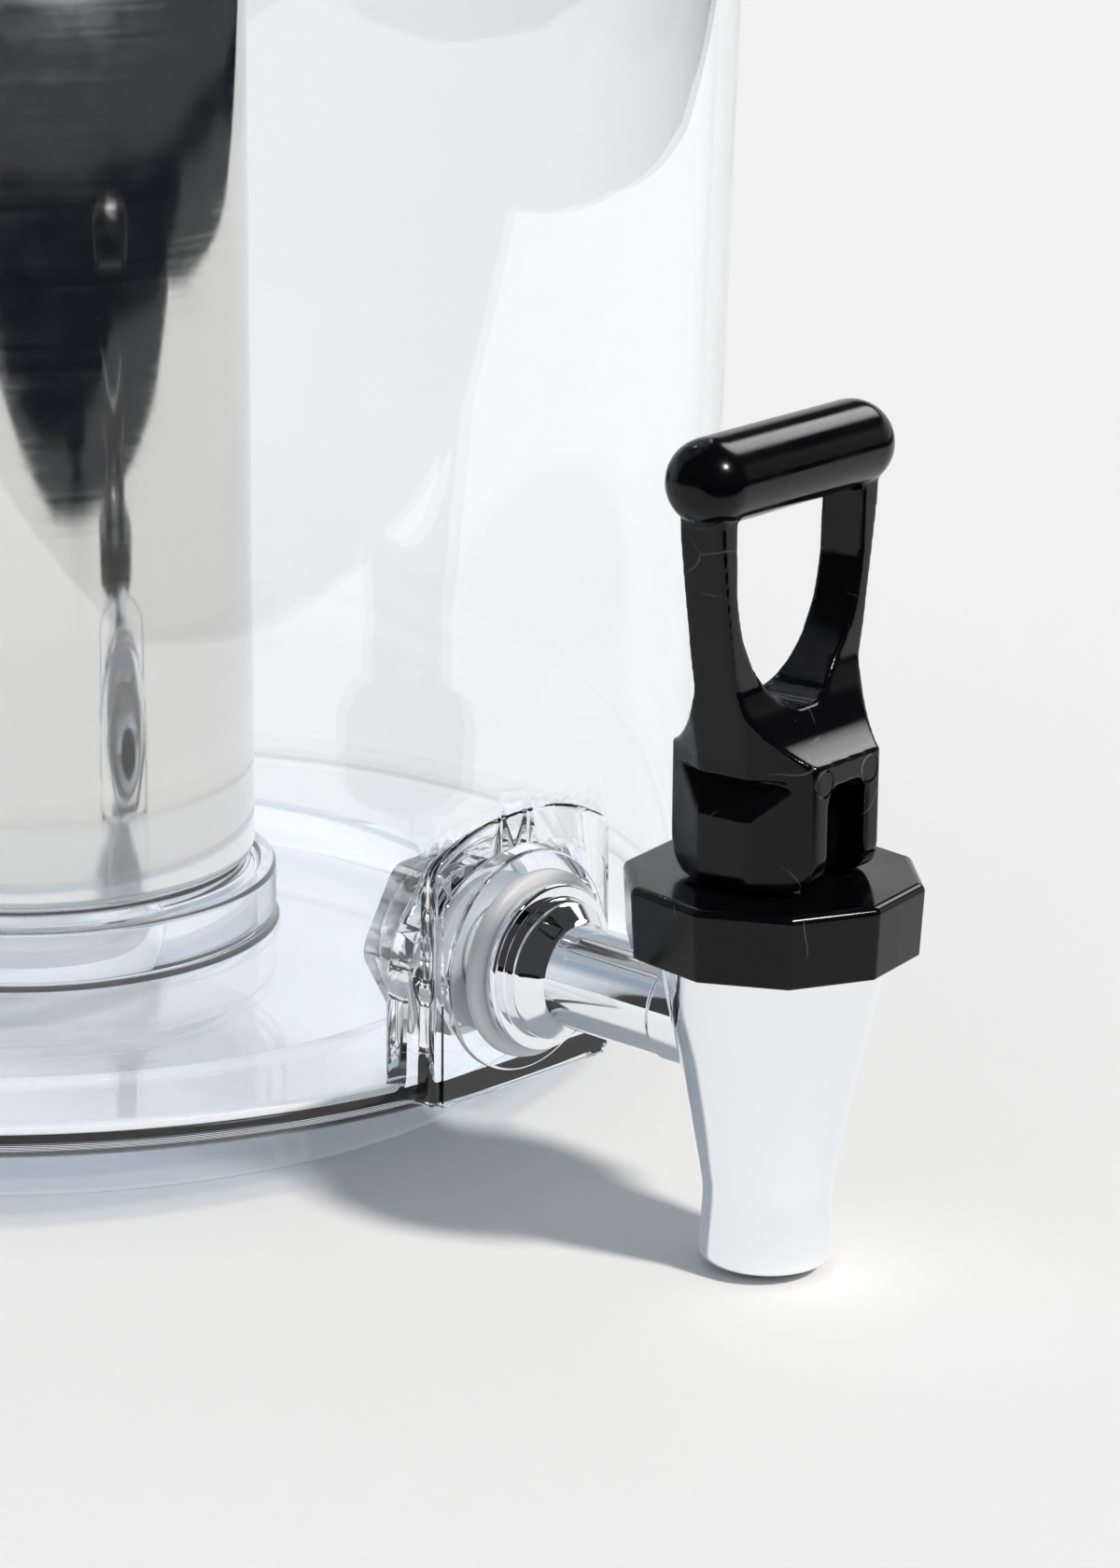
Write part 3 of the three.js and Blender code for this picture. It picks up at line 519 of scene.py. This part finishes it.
def makeIceTube():
    t = iceTube
    top = t["bottom"] + t["height"]
    inner = t["radius"] - t["wall"]
    tube = np.vstack([
        [[0, t["bottom"]]],
        arc((t["radius"] - t["corner"], t["bottom"] + t["corner"]), t["corner"], -90, 0, 8),
        softened([[t["radius"], top - 20], [t["radius"], top], [inner, top], [inner, top - 20]], 0.4)[1:-1],
        arc((inner - 1.4, t["bottom"] + 2.4), 1.4, 0, -90, 6),
        [[0, t["bottom"] + t["wall"]]],
    ])
    place(turned("steelIceTube", tube, polishedStainless, 256), "ice_tube_unit", "polished_steel", "ice_tube")
    outer = tank["ringRadius"] - tank["ringWall"] - air
    low = floorTop + air
    high = t["bottom"] - air
    plug = softened([[outer - t["footWall"], low], [outer, low], [outer, ringTop - 0.8], [t["neck"], ringTop],
                     [t["neck"], high]], 0.5)
    plug = np.vstack([plug, softened([[t["neck"], high - 0.5], [t["neck"], high], [0, high]], 0.3)[1:],
                      [[0, high - t["footRoof"]], [outer - t["footWall"], high - t["footRoof"]],
                       [outer - t["footWall"], low]]])
    place(turned("iceTubePlug", plug, clearPolycarbonate), "ice_tube_unit", "clear_plastic", "ice_tube_foot")
    base = top + air + t["seal"] + air
    lid = base + t["flange"]
    spigot = inner - air
    cap = softened([[spigot - t["spigotWall"], base], [spigot - t["spigotWall"], base - t["spigot"]],
                    [spigot, base - t["spigot"]], [spigot, base], [t["radius"], base], [t["radius"], lid],
                    [t["knobRadius"], lid], [t["knobRadius"], lid + t["knobHeight"]], [0, lid + t["knobHeight"]]], 0.9)
    cap = np.vstack([[[0, base]], cap])
    place(turned("iceTubeStopper", cap, glossBlackAbs), "ice_cap", "black_plastic", "ice_tube_cap")
    low = top + air
    high = low + t["seal"]
    ring = softened([[inner, low], [t["radius"], low], [t["radius"], high], [inner, high]], 0.6, closed=True)
    place(turned("iceTubeRing", ring, milkySilicone, closed=True), "ice_cap", "silicone", "ice_tube_seal")


makeIceTube()
print("ice tube made")

lid = {"sheet": 1.2, "skirt": 12, "gap": 1.2, "rise": 7, "seal": 1.8, "sealWidth": 6, "dish": 13.5,
       "knobRadius": 17, "knobHeight": 24, "screwRadius": 2.5, "screwHead": 4.5, "screwHeadHeight": 2,
       "screwLength": 12}
knobShares = [[0, 0.49], [0.1, 0.53], [0.3, 0.53], [0.42, 0.66], [0.55, 0.9], [0.68, 1], [0.82, 1], [0.93, 0.9],
              [1, 0.66]]


def makeLid():
    d = lid
    seat = tankTop + air + d["seal"] + air
    inner = rimRadius + d["gap"]
    outer = inner + d["sheet"]
    low = seat - d["skirt"]
    crown = seat + d["rise"]
    shoulder = rimRadius - d["sealWidth"]
    hole = d["screwRadius"] + air
    shell = softened([[hole, crown], [d["dish"], crown], [shoulder, seat], [inner, seat], [inner, low], [outer, low],
                      [outer, seat], [outer - d["sheet"], seat + d["sheet"]], [shoulder, seat + d["sheet"]],
                      [d["dish"], crown + d["sheet"]], [hole, crown + d["sheet"]]], 0.55, closed=True)
    place(turned("steelLid", shell, polishedStainless, 256, closed=True), "lid", "polished_steel", "tank_lid")
    under = tankTop + air
    over = under + d["seal"]
    ring = softened([[shoulder, under], [rimRadius, under], [rimRadius, over], [shoulder, over]], 0.6, closed=True)
    place(turned("lidRing", ring, milkySilicone, 192, closed=True), "lid", "silicone", "lid_seal")
    base = crown + d["sheet"] + air
    side = throughPoints([[d["knobRadius"] * out, base + d["knobHeight"] * up] for up, out in knobShares], 6)
    depth = base + d["screwLength"] - d["screwHeadHeight"]
    knob = np.vstack([[[0, depth], [hole, depth], [hole, base]], side, [[0, base + d["knobHeight"] + 0.6]]])
    place(turned("lidKnob", knob, glossBlackAbs, 96), "lid", "black_plastic", "lid_knob")
    under = crown - air
    screw = softened([[0, under - d["screwHeadHeight"]], [d["screwHead"], under - d["screwHeadHeight"]],
                      [d["screwHead"], under], [d["screwRadius"], under],
                      [d["screwRadius"], under + d["screwLength"] - 2], [0, under + d["screwLength"] - 2]], 0.4)
    place(turned("knobScrew", screw, polishedStainless, 48), "lid", "polished_steel", "lid_knob_screw")


makeLid()
print("lid made")

tap = {"reach": 166.6, "lift": 1.7, "barrelHeight": 48.74, "topRadius": 17, "lip": 1.2, "bore": 7.4, "seatRise": 24,
       "seatCone": 3, "chamber": 10.6, "neckRadius": 14.8, "neckHeight": 6.7, "shank": 8.16, "shankBore": 5.2,
       "seam": 0.35, "seamReach": 17.5, "thread": 7.7, "threadEnd": 91, "flange": 13.2, "flangeThickness": 2,
       "flangeNeck": 10.9, "neckLength": 2.4, "coneLength": 2.6, "washer": 14.9, "washerThickness": 2.5,
       "innerWasher": 12.6, "innerThickness": 2}
barrelShares = [[0.05, 0.588], [0.14, 0.575], [0.226, 0.571], [0.309, 0.606], [0.391, 0.65], [0.475, 0.695],
                [0.556, 0.741], [0.638, 0.788], [0.72, 0.841], [0.864, 0.93], [1, 1]]
tapCentre = (0, -tap["reach"], 0)
neckTop = tap["lift"] + tap["barrelHeight"] + tap["neckHeight"]
flangeBack = boss["face"] + boss["ringDepth"] + air + tap["washerThickness"] + air


def makeTapBody():
    t = tap
    side = throughPoints([[t["topRadius"] * out, t["lift"] + t["barrelHeight"] * up] for up, out in barrelShares], 6)
    lipRadius = t["topRadius"] * barrelShares[0][1] - t["lip"]
    outside = np.vstack([
        [[0, t["lift"]]],
        arc((lipRadius, t["lift"] + t["lip"]), t["lip"], -90, 0, 8),
        side,
        softened([[t["topRadius"], t["lift"] + t["barrelHeight"]], [t["neckRadius"], t["lift"] + t["barrelHeight"]],
                  [t["neckRadius"], neckTop], [0, neckTop]], 0.4),
    ])
    body = turned("barrel", outside, chromePlate, 128, centre=tapCentre)
    front = flangeBack + t["flangeThickness"]
    neck = front + t["neckLength"]
    cone = neck + t["coneLength"]
    seam = t["reach"] - t["seamReach"]
    seamRadius = t["shank"] + t["seam"]
    shank = np.vstack([
        [[0, t["threadEnd"]]],
        softened([[t["thread"], t["threadEnd"]], [t["thread"], flangeBack], [t["flange"], flangeBack],
                  [t["flange"], front], [t["flangeNeck"], front], [t["flangeNeck"], neck], [seamRadius, cone],
                  [t["shank"], cone + 0.6], [t["shank"], seam], [seamRadius, seam + 0.5], [seamRadius, t["reach"]]],
                 0.55),
        [[0, t["reach"]]],
    ])
    forward = turned("shank", shank, chromePlate, 96, along="forward", centre=(0, 0, shankAxis))
    seat = t["lift"] + t["seatRise"]
    inside = turned("barrelWay", [[0, -2], [t["bore"], -2], [t["bore"], seat], [t["chamber"], seat + t["seatCone"]],
                    [t["chamber"], neckTop + 3], [0, neckTop + 3]], chromePlate, 64, centre=tapCentre)
    inlet = turned("shankWay", [[0, t["threadEnd"] - 2], [t["shankBore"], t["threadEnd"] - 2],
                   [t["shankBore"], t["reach"]], [0, t["reach"]]], chromePlate, 48, along="forward",
                   centre=(0, 0, shankAxis))
    for other, operation in ((forward, "UNION"), (inside, "DIFFERENCE"), (inlet, "DIFFERENCE")):
        combine(body, other, operation)
    body.name = "chromeTapBody"
    place(flattened(resmoothed(body, chromePlate, 38)), "dispenser", "chrome", "tap_body")


makeTapBody()


def makeWashers():
    near = boss["face"] + boss["ringDepth"] + air
    far = near + tap["washerThickness"]
    hole = boss["hole"]
    outer = softened([[hole, near], [tap["washer"], near], [tap["washer"], far], [hole, far]], 1.1, 6, closed=True)
    place(turned("outerWasher", outer, milkySilicone, 96, closed=True, along="forward", centre=(0, 0, shankAxis)),
          "dispenser", "silicone", "tap_outer_washer")
    back = boss["face"] - boss["depth"] - air
    deep = back - tap["innerThickness"]
    inner = softened([[hole, deep], [tap["innerWasher"], deep], [tap["innerWasher"], back], [hole, back]], 0.6,
                     closed=True)
    place(turned("innerWasher", inner, milkySilicone, 96, closed=True, along="forward", centre=(0, 0, shankAxis)),
          "dispenser", "silicone", "tap_inner_washer")


makeWashers()


# a merged copy of a CAD node with its hard edges rounded
def edgedCopy(node, name, material, width, body, slotName, segments=2, degrees=32):
    mesh = nodes[node].data.copy()
    obj = finishObject(name, mesh, material, degrees)
    edged(obj, width, segments, degrees)
    obj.data.materials.clear()
    obj.data.materials.append(material)
    return place(obj, body, slotName, node)


edgedCopy("tap_nut", "lockNut", naturalNylon, 0.4, "dispenser", "white_plastic")
print("tap body made")

bonnet = {"low": 50.74, "height": 11.2, "topCorner": 22.7, "bottomCorner": 22.1, "bevel": 0.8, "turn": -6.9,
          "sides": 10, "thread": 15.1, "hole": 4.3}
bonnetTop = bonnet["low"] + bonnet["height"]


def makeBonnet():
    n = bonnet
    # the nut's flats: a circle of corners, so ten segments of a turned profile
    points, faces = turnedMesh([[0, n["low"]], [n["bottomCorner"], n["low"]], [n["topCorner"], bonnetTop - n["bevel"]],
                                [n["topCorner"] - n["bevel"], bonnetTop], [0, bonnetTop]], n["sides"], False)
    turn = math.radians(n["turn"] + 90)
    x = points[:, 0] * math.cos(turn) - points[:, 1] * math.sin(turn)
    y = points[:, 0] * math.sin(turn) + points[:, 1] * math.cos(turn)
    nut = meshObject("nutFlats", (np.stack([x, y, points[:, 2]], -1) + np.array(tapCentre)) * mm, faces,
                     glossBlackAbs, 12)
    edged(nut, 0.45, 3, 12)
    thread = turned("nutThread", [[0, n["low"] - 2], [n["thread"], n["low"] - 2], [n["thread"], neckTop + 1.8],
                    [0, neckTop + 1.8]], glossBlackAbs, 96, centre=tapCentre)
    hole = turned("nutHole", [[0, neckTop], [n["hole"], neckTop], [n["hole"], bonnetTop + 2], [0, bonnetTop + 2]],
                  glossBlackAbs, 48, centre=tapCentre)
    combine(nut, thread, "DIFFERENCE")
    combine(nut, hole, "DIFFERENCE")
    nut.name = "bonnetNut"
    place(flattened(resmoothed(nut, glossBlackAbs, 28)), "dispenser", "black_plastic", "bonnet_nut")


makeBonnet()

handle = {"turn": 5, "gap": 0.5, "blockTop": 19.7, "halfWidth": 13.2, "halfDepth": 13, "sideFlat": 4.4,
          "endFlat": 7.9, "heel": 5, "slot": 9.4, "slotTop": 16, "slotCorner": 2.6, "notchLow": 11.4,
          "notchHigh": 17.3, "notchDepth": 3.85, "legDepth": 3.9, "legSpread": 19.5, "flareTop": 31,
          "flareWidth": 15.6, "windowLow": 26.2, "windowWidth": 15.6, "grip": 61.4, "gripRadius": 6.5,
          "gripLength": 47.4, "grain": 0.35, "smooths": 10}
legShares = [[0, 0.677], [0.06, 0.7], [0.14, 0.735], [0.24, 0.777], [0.35, 0.825], [0.5, 0.885], [0.7, 0.95],
             [0.86, 0.99], [1, 1]]
flareShares = [[0, 1], [0.05, 0.86], [0.14, 0.7], [0.28, 0.5], [0.46, 0.3], [0.66, 0.13], [0.84, 0.04], [1, 0]]
windowShares = [[0, 0.14], [0.035, 0.32], [0.08, 0.44], [0.14, 0.57], [0.23, 0.74], [0.33, 0.86], [0.44, 0.93],
                [0.6, 0.98], [1, 1]]


def bothSides(points):
    p = np.asarray(points, float)
    return np.vstack([p, (p * [-1, 1])[::-1]])


# the block's eight sided plan for any half width, chamfers kept
def planOutline(halfWidth):
    h = handle
    end = halfWidth - (h["halfWidth"] - h["endFlat"])
    return bothSides([[end, -h["halfDepth"]], [halfWidth, -h["sideFlat"]], [halfWidth, h["sideFlat"]],
                      [end, h["halfDepth"]]])


# the plan joined up through several heights, each with its own half width
def widening(name, heights, halfWidths):
    layers = [np.column_stack([planOutline(w), np.full(8, z)]) for z, w in zip(heights, halfWidths)]
    row = np.arange(8)
    column = (row + 1) % 8
    faces = [[k * 8 + a, k * 8 + b, (k + 1) * 8 + b, (k + 1) * 8 + a] for k in range(len(layers) - 1)
             for a, b in zip(row.tolist(), column.tolist())]
    faces += [row[::-1].tolist(), (row + 8 * (len(layers) - 1)).tolist()]
    return meshObject(name, np.vstack(layers) * mm, faces, glossBlackAbs)


def makeHandle():
    h = handle
    low = bonnetTop + h["blockTop"]
    high = bonnetTop + h["grip"]
    window = bonnetTop + h["windowLow"]
    flare = bonnetTop + h["flareTop"]
    base = bonnetTop + h["gap"]
    root = low - h["legDepth"]
    front = throughPoints([[h["legSpread"] * out, low + (high - low) * up] for up, out in legShares], 6)
    side = throughPoints([[h["legDepth"] + (h["halfDepth"] - h["legDepth"]) * out, low + (flare - low) * up]
                          for up, out in flareShares], 6)
    front = np.vstack([[[h["halfWidth"], root]], front])
    side = np.vstack([[[h["halfDepth"], root]], side, [[h["legDepth"], high]]])
    solid = prism("handleFront", bothSides(front), -h["halfDepth"], h["halfDepth"], "xz", glossBlackAbs)
    combine(solid, prism("handleSide", bothSides(side), -25, 25, "yz", glossBlackAbs), "INTERSECT")
    combine(solid, widening("handleCorners", [root, low, flare, high], [h["halfWidth"], h["halfWidth"],
            h["flareWidth"], h["flareWidth"] + 12]), "INTERSECT")
    opening = throughPoints([[h["windowWidth"] * out, window + (high - window) * up] for up, out in windowShares], 6)
    combine(solid, prism("handleOpening", bothSides(opening), -16, 16, "xz", glossBlackAbs), "DIFFERENCE")
    block = prism("handleBlock", planOutline(h["halfWidth"]), base, low, "xy", glossBlackAbs)
    heel = arc((h["halfDepth"] - h["heel"], base + h["heel"]), h["heel"], -90, 0, 12)
    rolled = bothSides(np.vstack([heel, [[h["halfDepth"], low + 1]]]))
    combine(block, prism("handleHeel", rolled, -20, 20, "yz", glossBlackAbs), "INTERSECT")
    combine(solid, block, "UNION")
    for s in (1, -1):
        wedge = [[s * h["halfWidth"], bonnetTop + h["notchLow"]], [s * 15, bonnetTop + h["notchLow"]],
                 [s * 15, bonnetTop + h["notchHigh"]],
                 [s * (h["halfWidth"] - h["notchDepth"]), bonnetTop + h["notchHigh"]]]
        combine(solid, prism("handleNotch", wedge, -20, 20, "xz", glossBlackAbs), "DIFFERENCE")
    straight = h["gripLength"] / 2 - h["gripRadius"]
    caps = np.vstack([arc((0, -straight), h["gripRadius"], -90, 0, 16), arc((0, straight), h["gripRadius"], 0, 90, 16)])
    caps[0, 0] = caps[-1, 0] = 0
    points, faces = turnedMesh(caps, 64, False)
    points = np.stack([points[:, 2], points[:, 0], points[:, 1] + high], -1)
    combine(solid, meshObject("handleGrip", points * mm, faces, glossBlackAbs), "UNION")
    corner = arc((h["slot"] / 2 - h["slotCorner"], bonnetTop + h["slotTop"] - h["slotCorner"]), h["slotCorner"],
                 0, 90, 8)
    slot = bothSides(np.vstack([[[h["slot"] / 2, bonnetTop - 2]], corner]))
    combine(solid, prism("handleSlot", slot, -17, 17, "xz", glossBlackAbs), "DIFFERENCE")
    turn = Matrix.Rotation(math.radians(h["turn"]), 4, "Z")
    solid.data.transform(Matrix.Translation(Vector(tapCentre) * mm) @ turn)
    # moulded edges: a fine remesh, then a few rounds of smoothing
    remesh = solid.modifiers.new("remesh", "REMESH")
    remesh.mode = "VOXEL"
    remesh.voxel_size = h["grain"] * mm
    smooth = solid.modifiers.new("smooth", "SMOOTH")
    smooth.iterations = h["smooths"]
    smooth.factor = 0.5
    bpy.context.view_layer.update()
    applied(solid)
    solid.name = "loopHandle"
    place(resmoothed(solid, glossBlackAbs, 180), "handle", "black_plastic", "tap_handle")


makeHandle()
print("handle made")

# inner pieces keep their CAD solids
innerFinish = {"bonnet_seal": milkySilicone, "tap_stem": naturalNylon, "seat_cup": milkySilicone,
               "stem_spring": polishedStainless, "handle_pin": polishedStainless}
for name, material in innerFinish.items():
    nodes[name].data.materials.clear()
    nodes[name].data.materials.append(material)


def makeSpring():
    # the wire of the CAD solid
    mesh = nodes["stem_spring"].data.copy()
    mesh.transform(nodes["stem_spring"].matrix_world)
    obj = bpy.data.objects.new("stemSpring", mesh)
    scene.collection.objects.link(obj)
    coords = np.empty(len(mesh.vertices) * 3)
    mesh.vertices.foreach_get("co", coords)
    place(obj, "dispenser", "polished_steel", "stem_spring")
    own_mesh(obj)


makeSpring()
print("inner pieces made")

# table and light; places are right of, beyond and above the ice tube's foot as the photograph looks at it
studio = {"ground": "#F2F2F2", "ambient": 0.45, "skyTint": "#EDF6FF", "key": 2.65, "keyTint": "#FFF9F2",
          "keyPlace": (1.7, -1.28, 2.13), "keySpread": 6.0, "ceiling": 0.05, "wall": 0.85,
          # direction, outer and inner edge as cosines, strength
          "softboxes": [((-0.4, 0.45, 0.8), 0.955, 0.985, 10.0), ((0.47, 0.6, 0.65), 0.965, 0.99, 6.0)]}
# in millimetres; its near edge is where the tube starts to mirror the dark room
tableOutline = [(-1600, 2400), (-1600, -1500), (-700, -1500), (148, -389), (567, -169), (830, -95), (830, 260),
                (760, 640), (900, 2400)]
tableLevel = 0.05
farFloor = {"half": 4, "level": -0.002}  # metres


def fromPhoto(x, y, z):
    return Matrix.Rotation(math.radians(camera["turnDegrees"]), 3, "Z") @ Vector((x, y, z))


def stagePlane(name, points, material):
    mesh = bpy.data.meshes.new(name)
    mesh.from_pydata(points, [], [list(range(len(points)))])
    mesh.materials.append(material)
    obj = bpy.data.objects.new(name, mesh)
    scene.collection.objects.link(obj)


def bareMaterial(name):
    material = bpy.data.materials.new(name)
    material.use_nodes = True
    tree = material.node_tree
    tree.nodes.clear()
    return material, tree, addNode(tree, "ShaderNodeOutputMaterial"), addNode(tree, "ShaderNodeLightPath").outputs


def makeTable():
    # Painted board: matt white; a painted glow makes it whiter through clear plastic and in chrome than beside them, as
    # photographed
    material, tree, output, ray = bareMaterial("paleTable")
    paint = addNode(tree, "ShaderNodeBsdfDiffuse", in_Color=linear("#F4F4F4"))
    # painted glow: the table gives off light when seen in chrome or through clear plastic, more so through four to six
    # skins
    deep = remap(tree, ray["Transmission Depth"], 4.0, 6.0, 0.08, 0.4)
    # painted pool of light: under the tank, seen straight through two walls or more, by no mirror, the table glows
    # brighter below the clear floor
    coords = addNode(tree, "ShaderNodeTexCoord").outputs["Object"]
    out = addNode(tree, "ShaderNodeVectorMath", {0: coords}, operation="LENGTH").outputs["Value"]
    paintedPool = maths(tree, "MULTIPLY", remap(tree, out, 0.11, 0.118, 0.3, 0.0),
                  remap(tree, ray["Transmission Depth"], 3.0, 4.0))
    straight = maths(tree, "LESS_THAN", ray["Glossy Depth"], 0.5)
    total = maths(tree, "ADD", maths(tree, "MULTIPLY", paintedPool, straight), deep)
    away = maths(tree, "MULTIPLY", fromCamera(tree, ray), ray["Is Glossy Ray"])
    paintedGlow = addNode(tree, "ShaderNodeEmission", {"Strength": maths(tree, "MULTIPLY", away, total)},
                   in_Color=linear("#F6F8FC"))
    both = addNode(tree, "ShaderNodeAddShader", {0: paint.outputs[0], 1: paintedGlow.outputs[0]})
    tree.links.new(both.outputs[0], output.inputs["Surface"])
    stagePlane("table", [tuple(fromPhoto(x, y, tableLevel) * mm) for x, y in tableOutline], material)


makeTable()


def makeDarkFloor():
    # Unlit floor beyond the table's edge: the ice tube mirrors it as a black wedge
    material, tree, output, ray = bareMaterial("darkRoom")
    # painted reflection: light that turned twice inside the clear plastic, crossing fewer than four skins, finds a pale
    # glow here in place of the dark floor
    turned = maths(tree, "GREATER_THAN", ray["Glossy Depth"], 1.5)
    crossed = maths(tree, "MULTIPLY", maths(tree, "LESS_THAN", ray["Transmission Depth"], 3.5),
                    maths(tree, "GREATER_THAN", ray["Transmission Depth"], 0.5))
    mirrored = mixShaders(tree, maths(tree, "MULTIPLY", crossed, turned), emission(tree, "#12171D"),
                          emission(tree, "#C9D3DF"))
    # looked at directly it is as pale as the background
    tree.links.new(mixShaders(tree, ray["Is Camera Ray"], mirrored, emission(tree, studio["ground"])),
                   output.inputs["Surface"])
    half = farFloor["half"]
    stagePlane("darkFloor", [(x, y, farFloor["level"]) for x, y in ((-half, -half), (half, -half), (half, half),
                                                                    (-half, half))], material)


makeDarkFloor()


def makeKey():
    data = bpy.data.lights.new("keyLamp", "SUN")
    data.energy = studio["key"]
    data.angle = math.radians(studio["keySpread"])
    data.color = linear(studio["keyTint"])[:3]
    obj = bpy.data.objects.new("keyLamp", data)
    scene.collection.objects.link(obj)
    obj.location = fromPhoto(*studio["keyPlace"])
    obj.rotation_euler = (-obj.location).to_track_quat("-Z", "Y").to_euler()


makeKey()


def makeWorld():
    world = bpy.data.worlds.new("studio")
    scene.world = world
    world.use_nodes = True
    tree = world.node_tree
    tree.nodes.clear()
    output = addNode(tree, "ShaderNodeOutputWorld")
    ray = addNode(tree, "ShaderNodeLightPath").outputs
    # the room that metal and black plastic mirror: a dim ceiling, a bright wall low behind, and softboxes
    way = addNode(tree, "ShaderNodeTexCoord").outputs["Generated"]
    direction = addNode(tree, "ShaderNodeMapping", {"Vector": way}, vector_type="POINT",
                        in_Rotation=(0, 0, -math.radians(camera["turnDegrees"]))).outputs["Vector"]
    axis = addNode(tree, "ShaderNodeSeparateXYZ", {"Vector": direction}).outputs
    wall = maths(tree, "MULTIPLY", remap(tree, axis["Y"], 0.15, 0.5, 0.0, studio["wall"]),
                 remap(tree, axis["Z"], 0.3, 0.42, 1.0, 0.0))
    level = maths(tree, "MAXIMUM", wall, studio["ceiling"])
    for place, outer, inner, strength in studio["softboxes"]:
        near = addNode(tree, "ShaderNodeVectorMath", {0: direction}, operation="DOT_PRODUCT",
                       in_1=Vector(place).normalized()).outputs["Value"]
        level = maths(tree, "ADD", level, remap(tree, near, outer, inner, 0.0, strength))
    # nearly as pale as the background by way of a mirror inside clear plastic, and greyer overhead
    inward = mixColours(tree, remap(tree, axis["Z"], 0.3, 0.5), "#EEF2F7", "#A9B4C0")
    # lamps and pale surfaces see the plain sky; only a mirrored or refracted view from the camera sees the room
    glossy = maths(tree, "MULTIPLY", ray["Is Glossy Ray"], fromCamera(tree, ray))
    inside = maths(tree, "MULTIPLY", glossy, maths(tree, "GREATER_THAN", ray["Transmission Depth"], 0.5))
    straight = maths(tree, "MULTIPLY", inside, maths(tree, "LESS_THAN", ray["Glossy Depth"], 0.5))
    pale = maths(tree, "MAXIMUM", straight, ray["Is Camera Ray"])
    sky = addNode(tree, "ShaderNodeBackground", in_Color=linear(studio["skyTint"]), in_Strength=studio["ambient"])
    mirrored = addNode(tree, "ShaderNodeBackground", {"Color": level}, in_Strength=1.0)
    refracted = addNode(tree, "ShaderNodeBackground", {"Color": inward}, in_Strength=1.0)
    ground = addNode(tree, "ShaderNodeBackground", in_Color=linear(studio["ground"]), in_Strength=1.0)
    surface = sky.outputs[0]
    for factor, shader in ((glossy, mirrored), (inside, refracted), (pale, ground)):
        surface = mixShaders(tree, factor, surface, shader.outputs[0])
    tree.links.new(surface, output.inputs["Surface"])


makeWorld()
scene.view_settings.view_transform = "Standard"
print("studio ready")

bpy.context.view_layer.update()
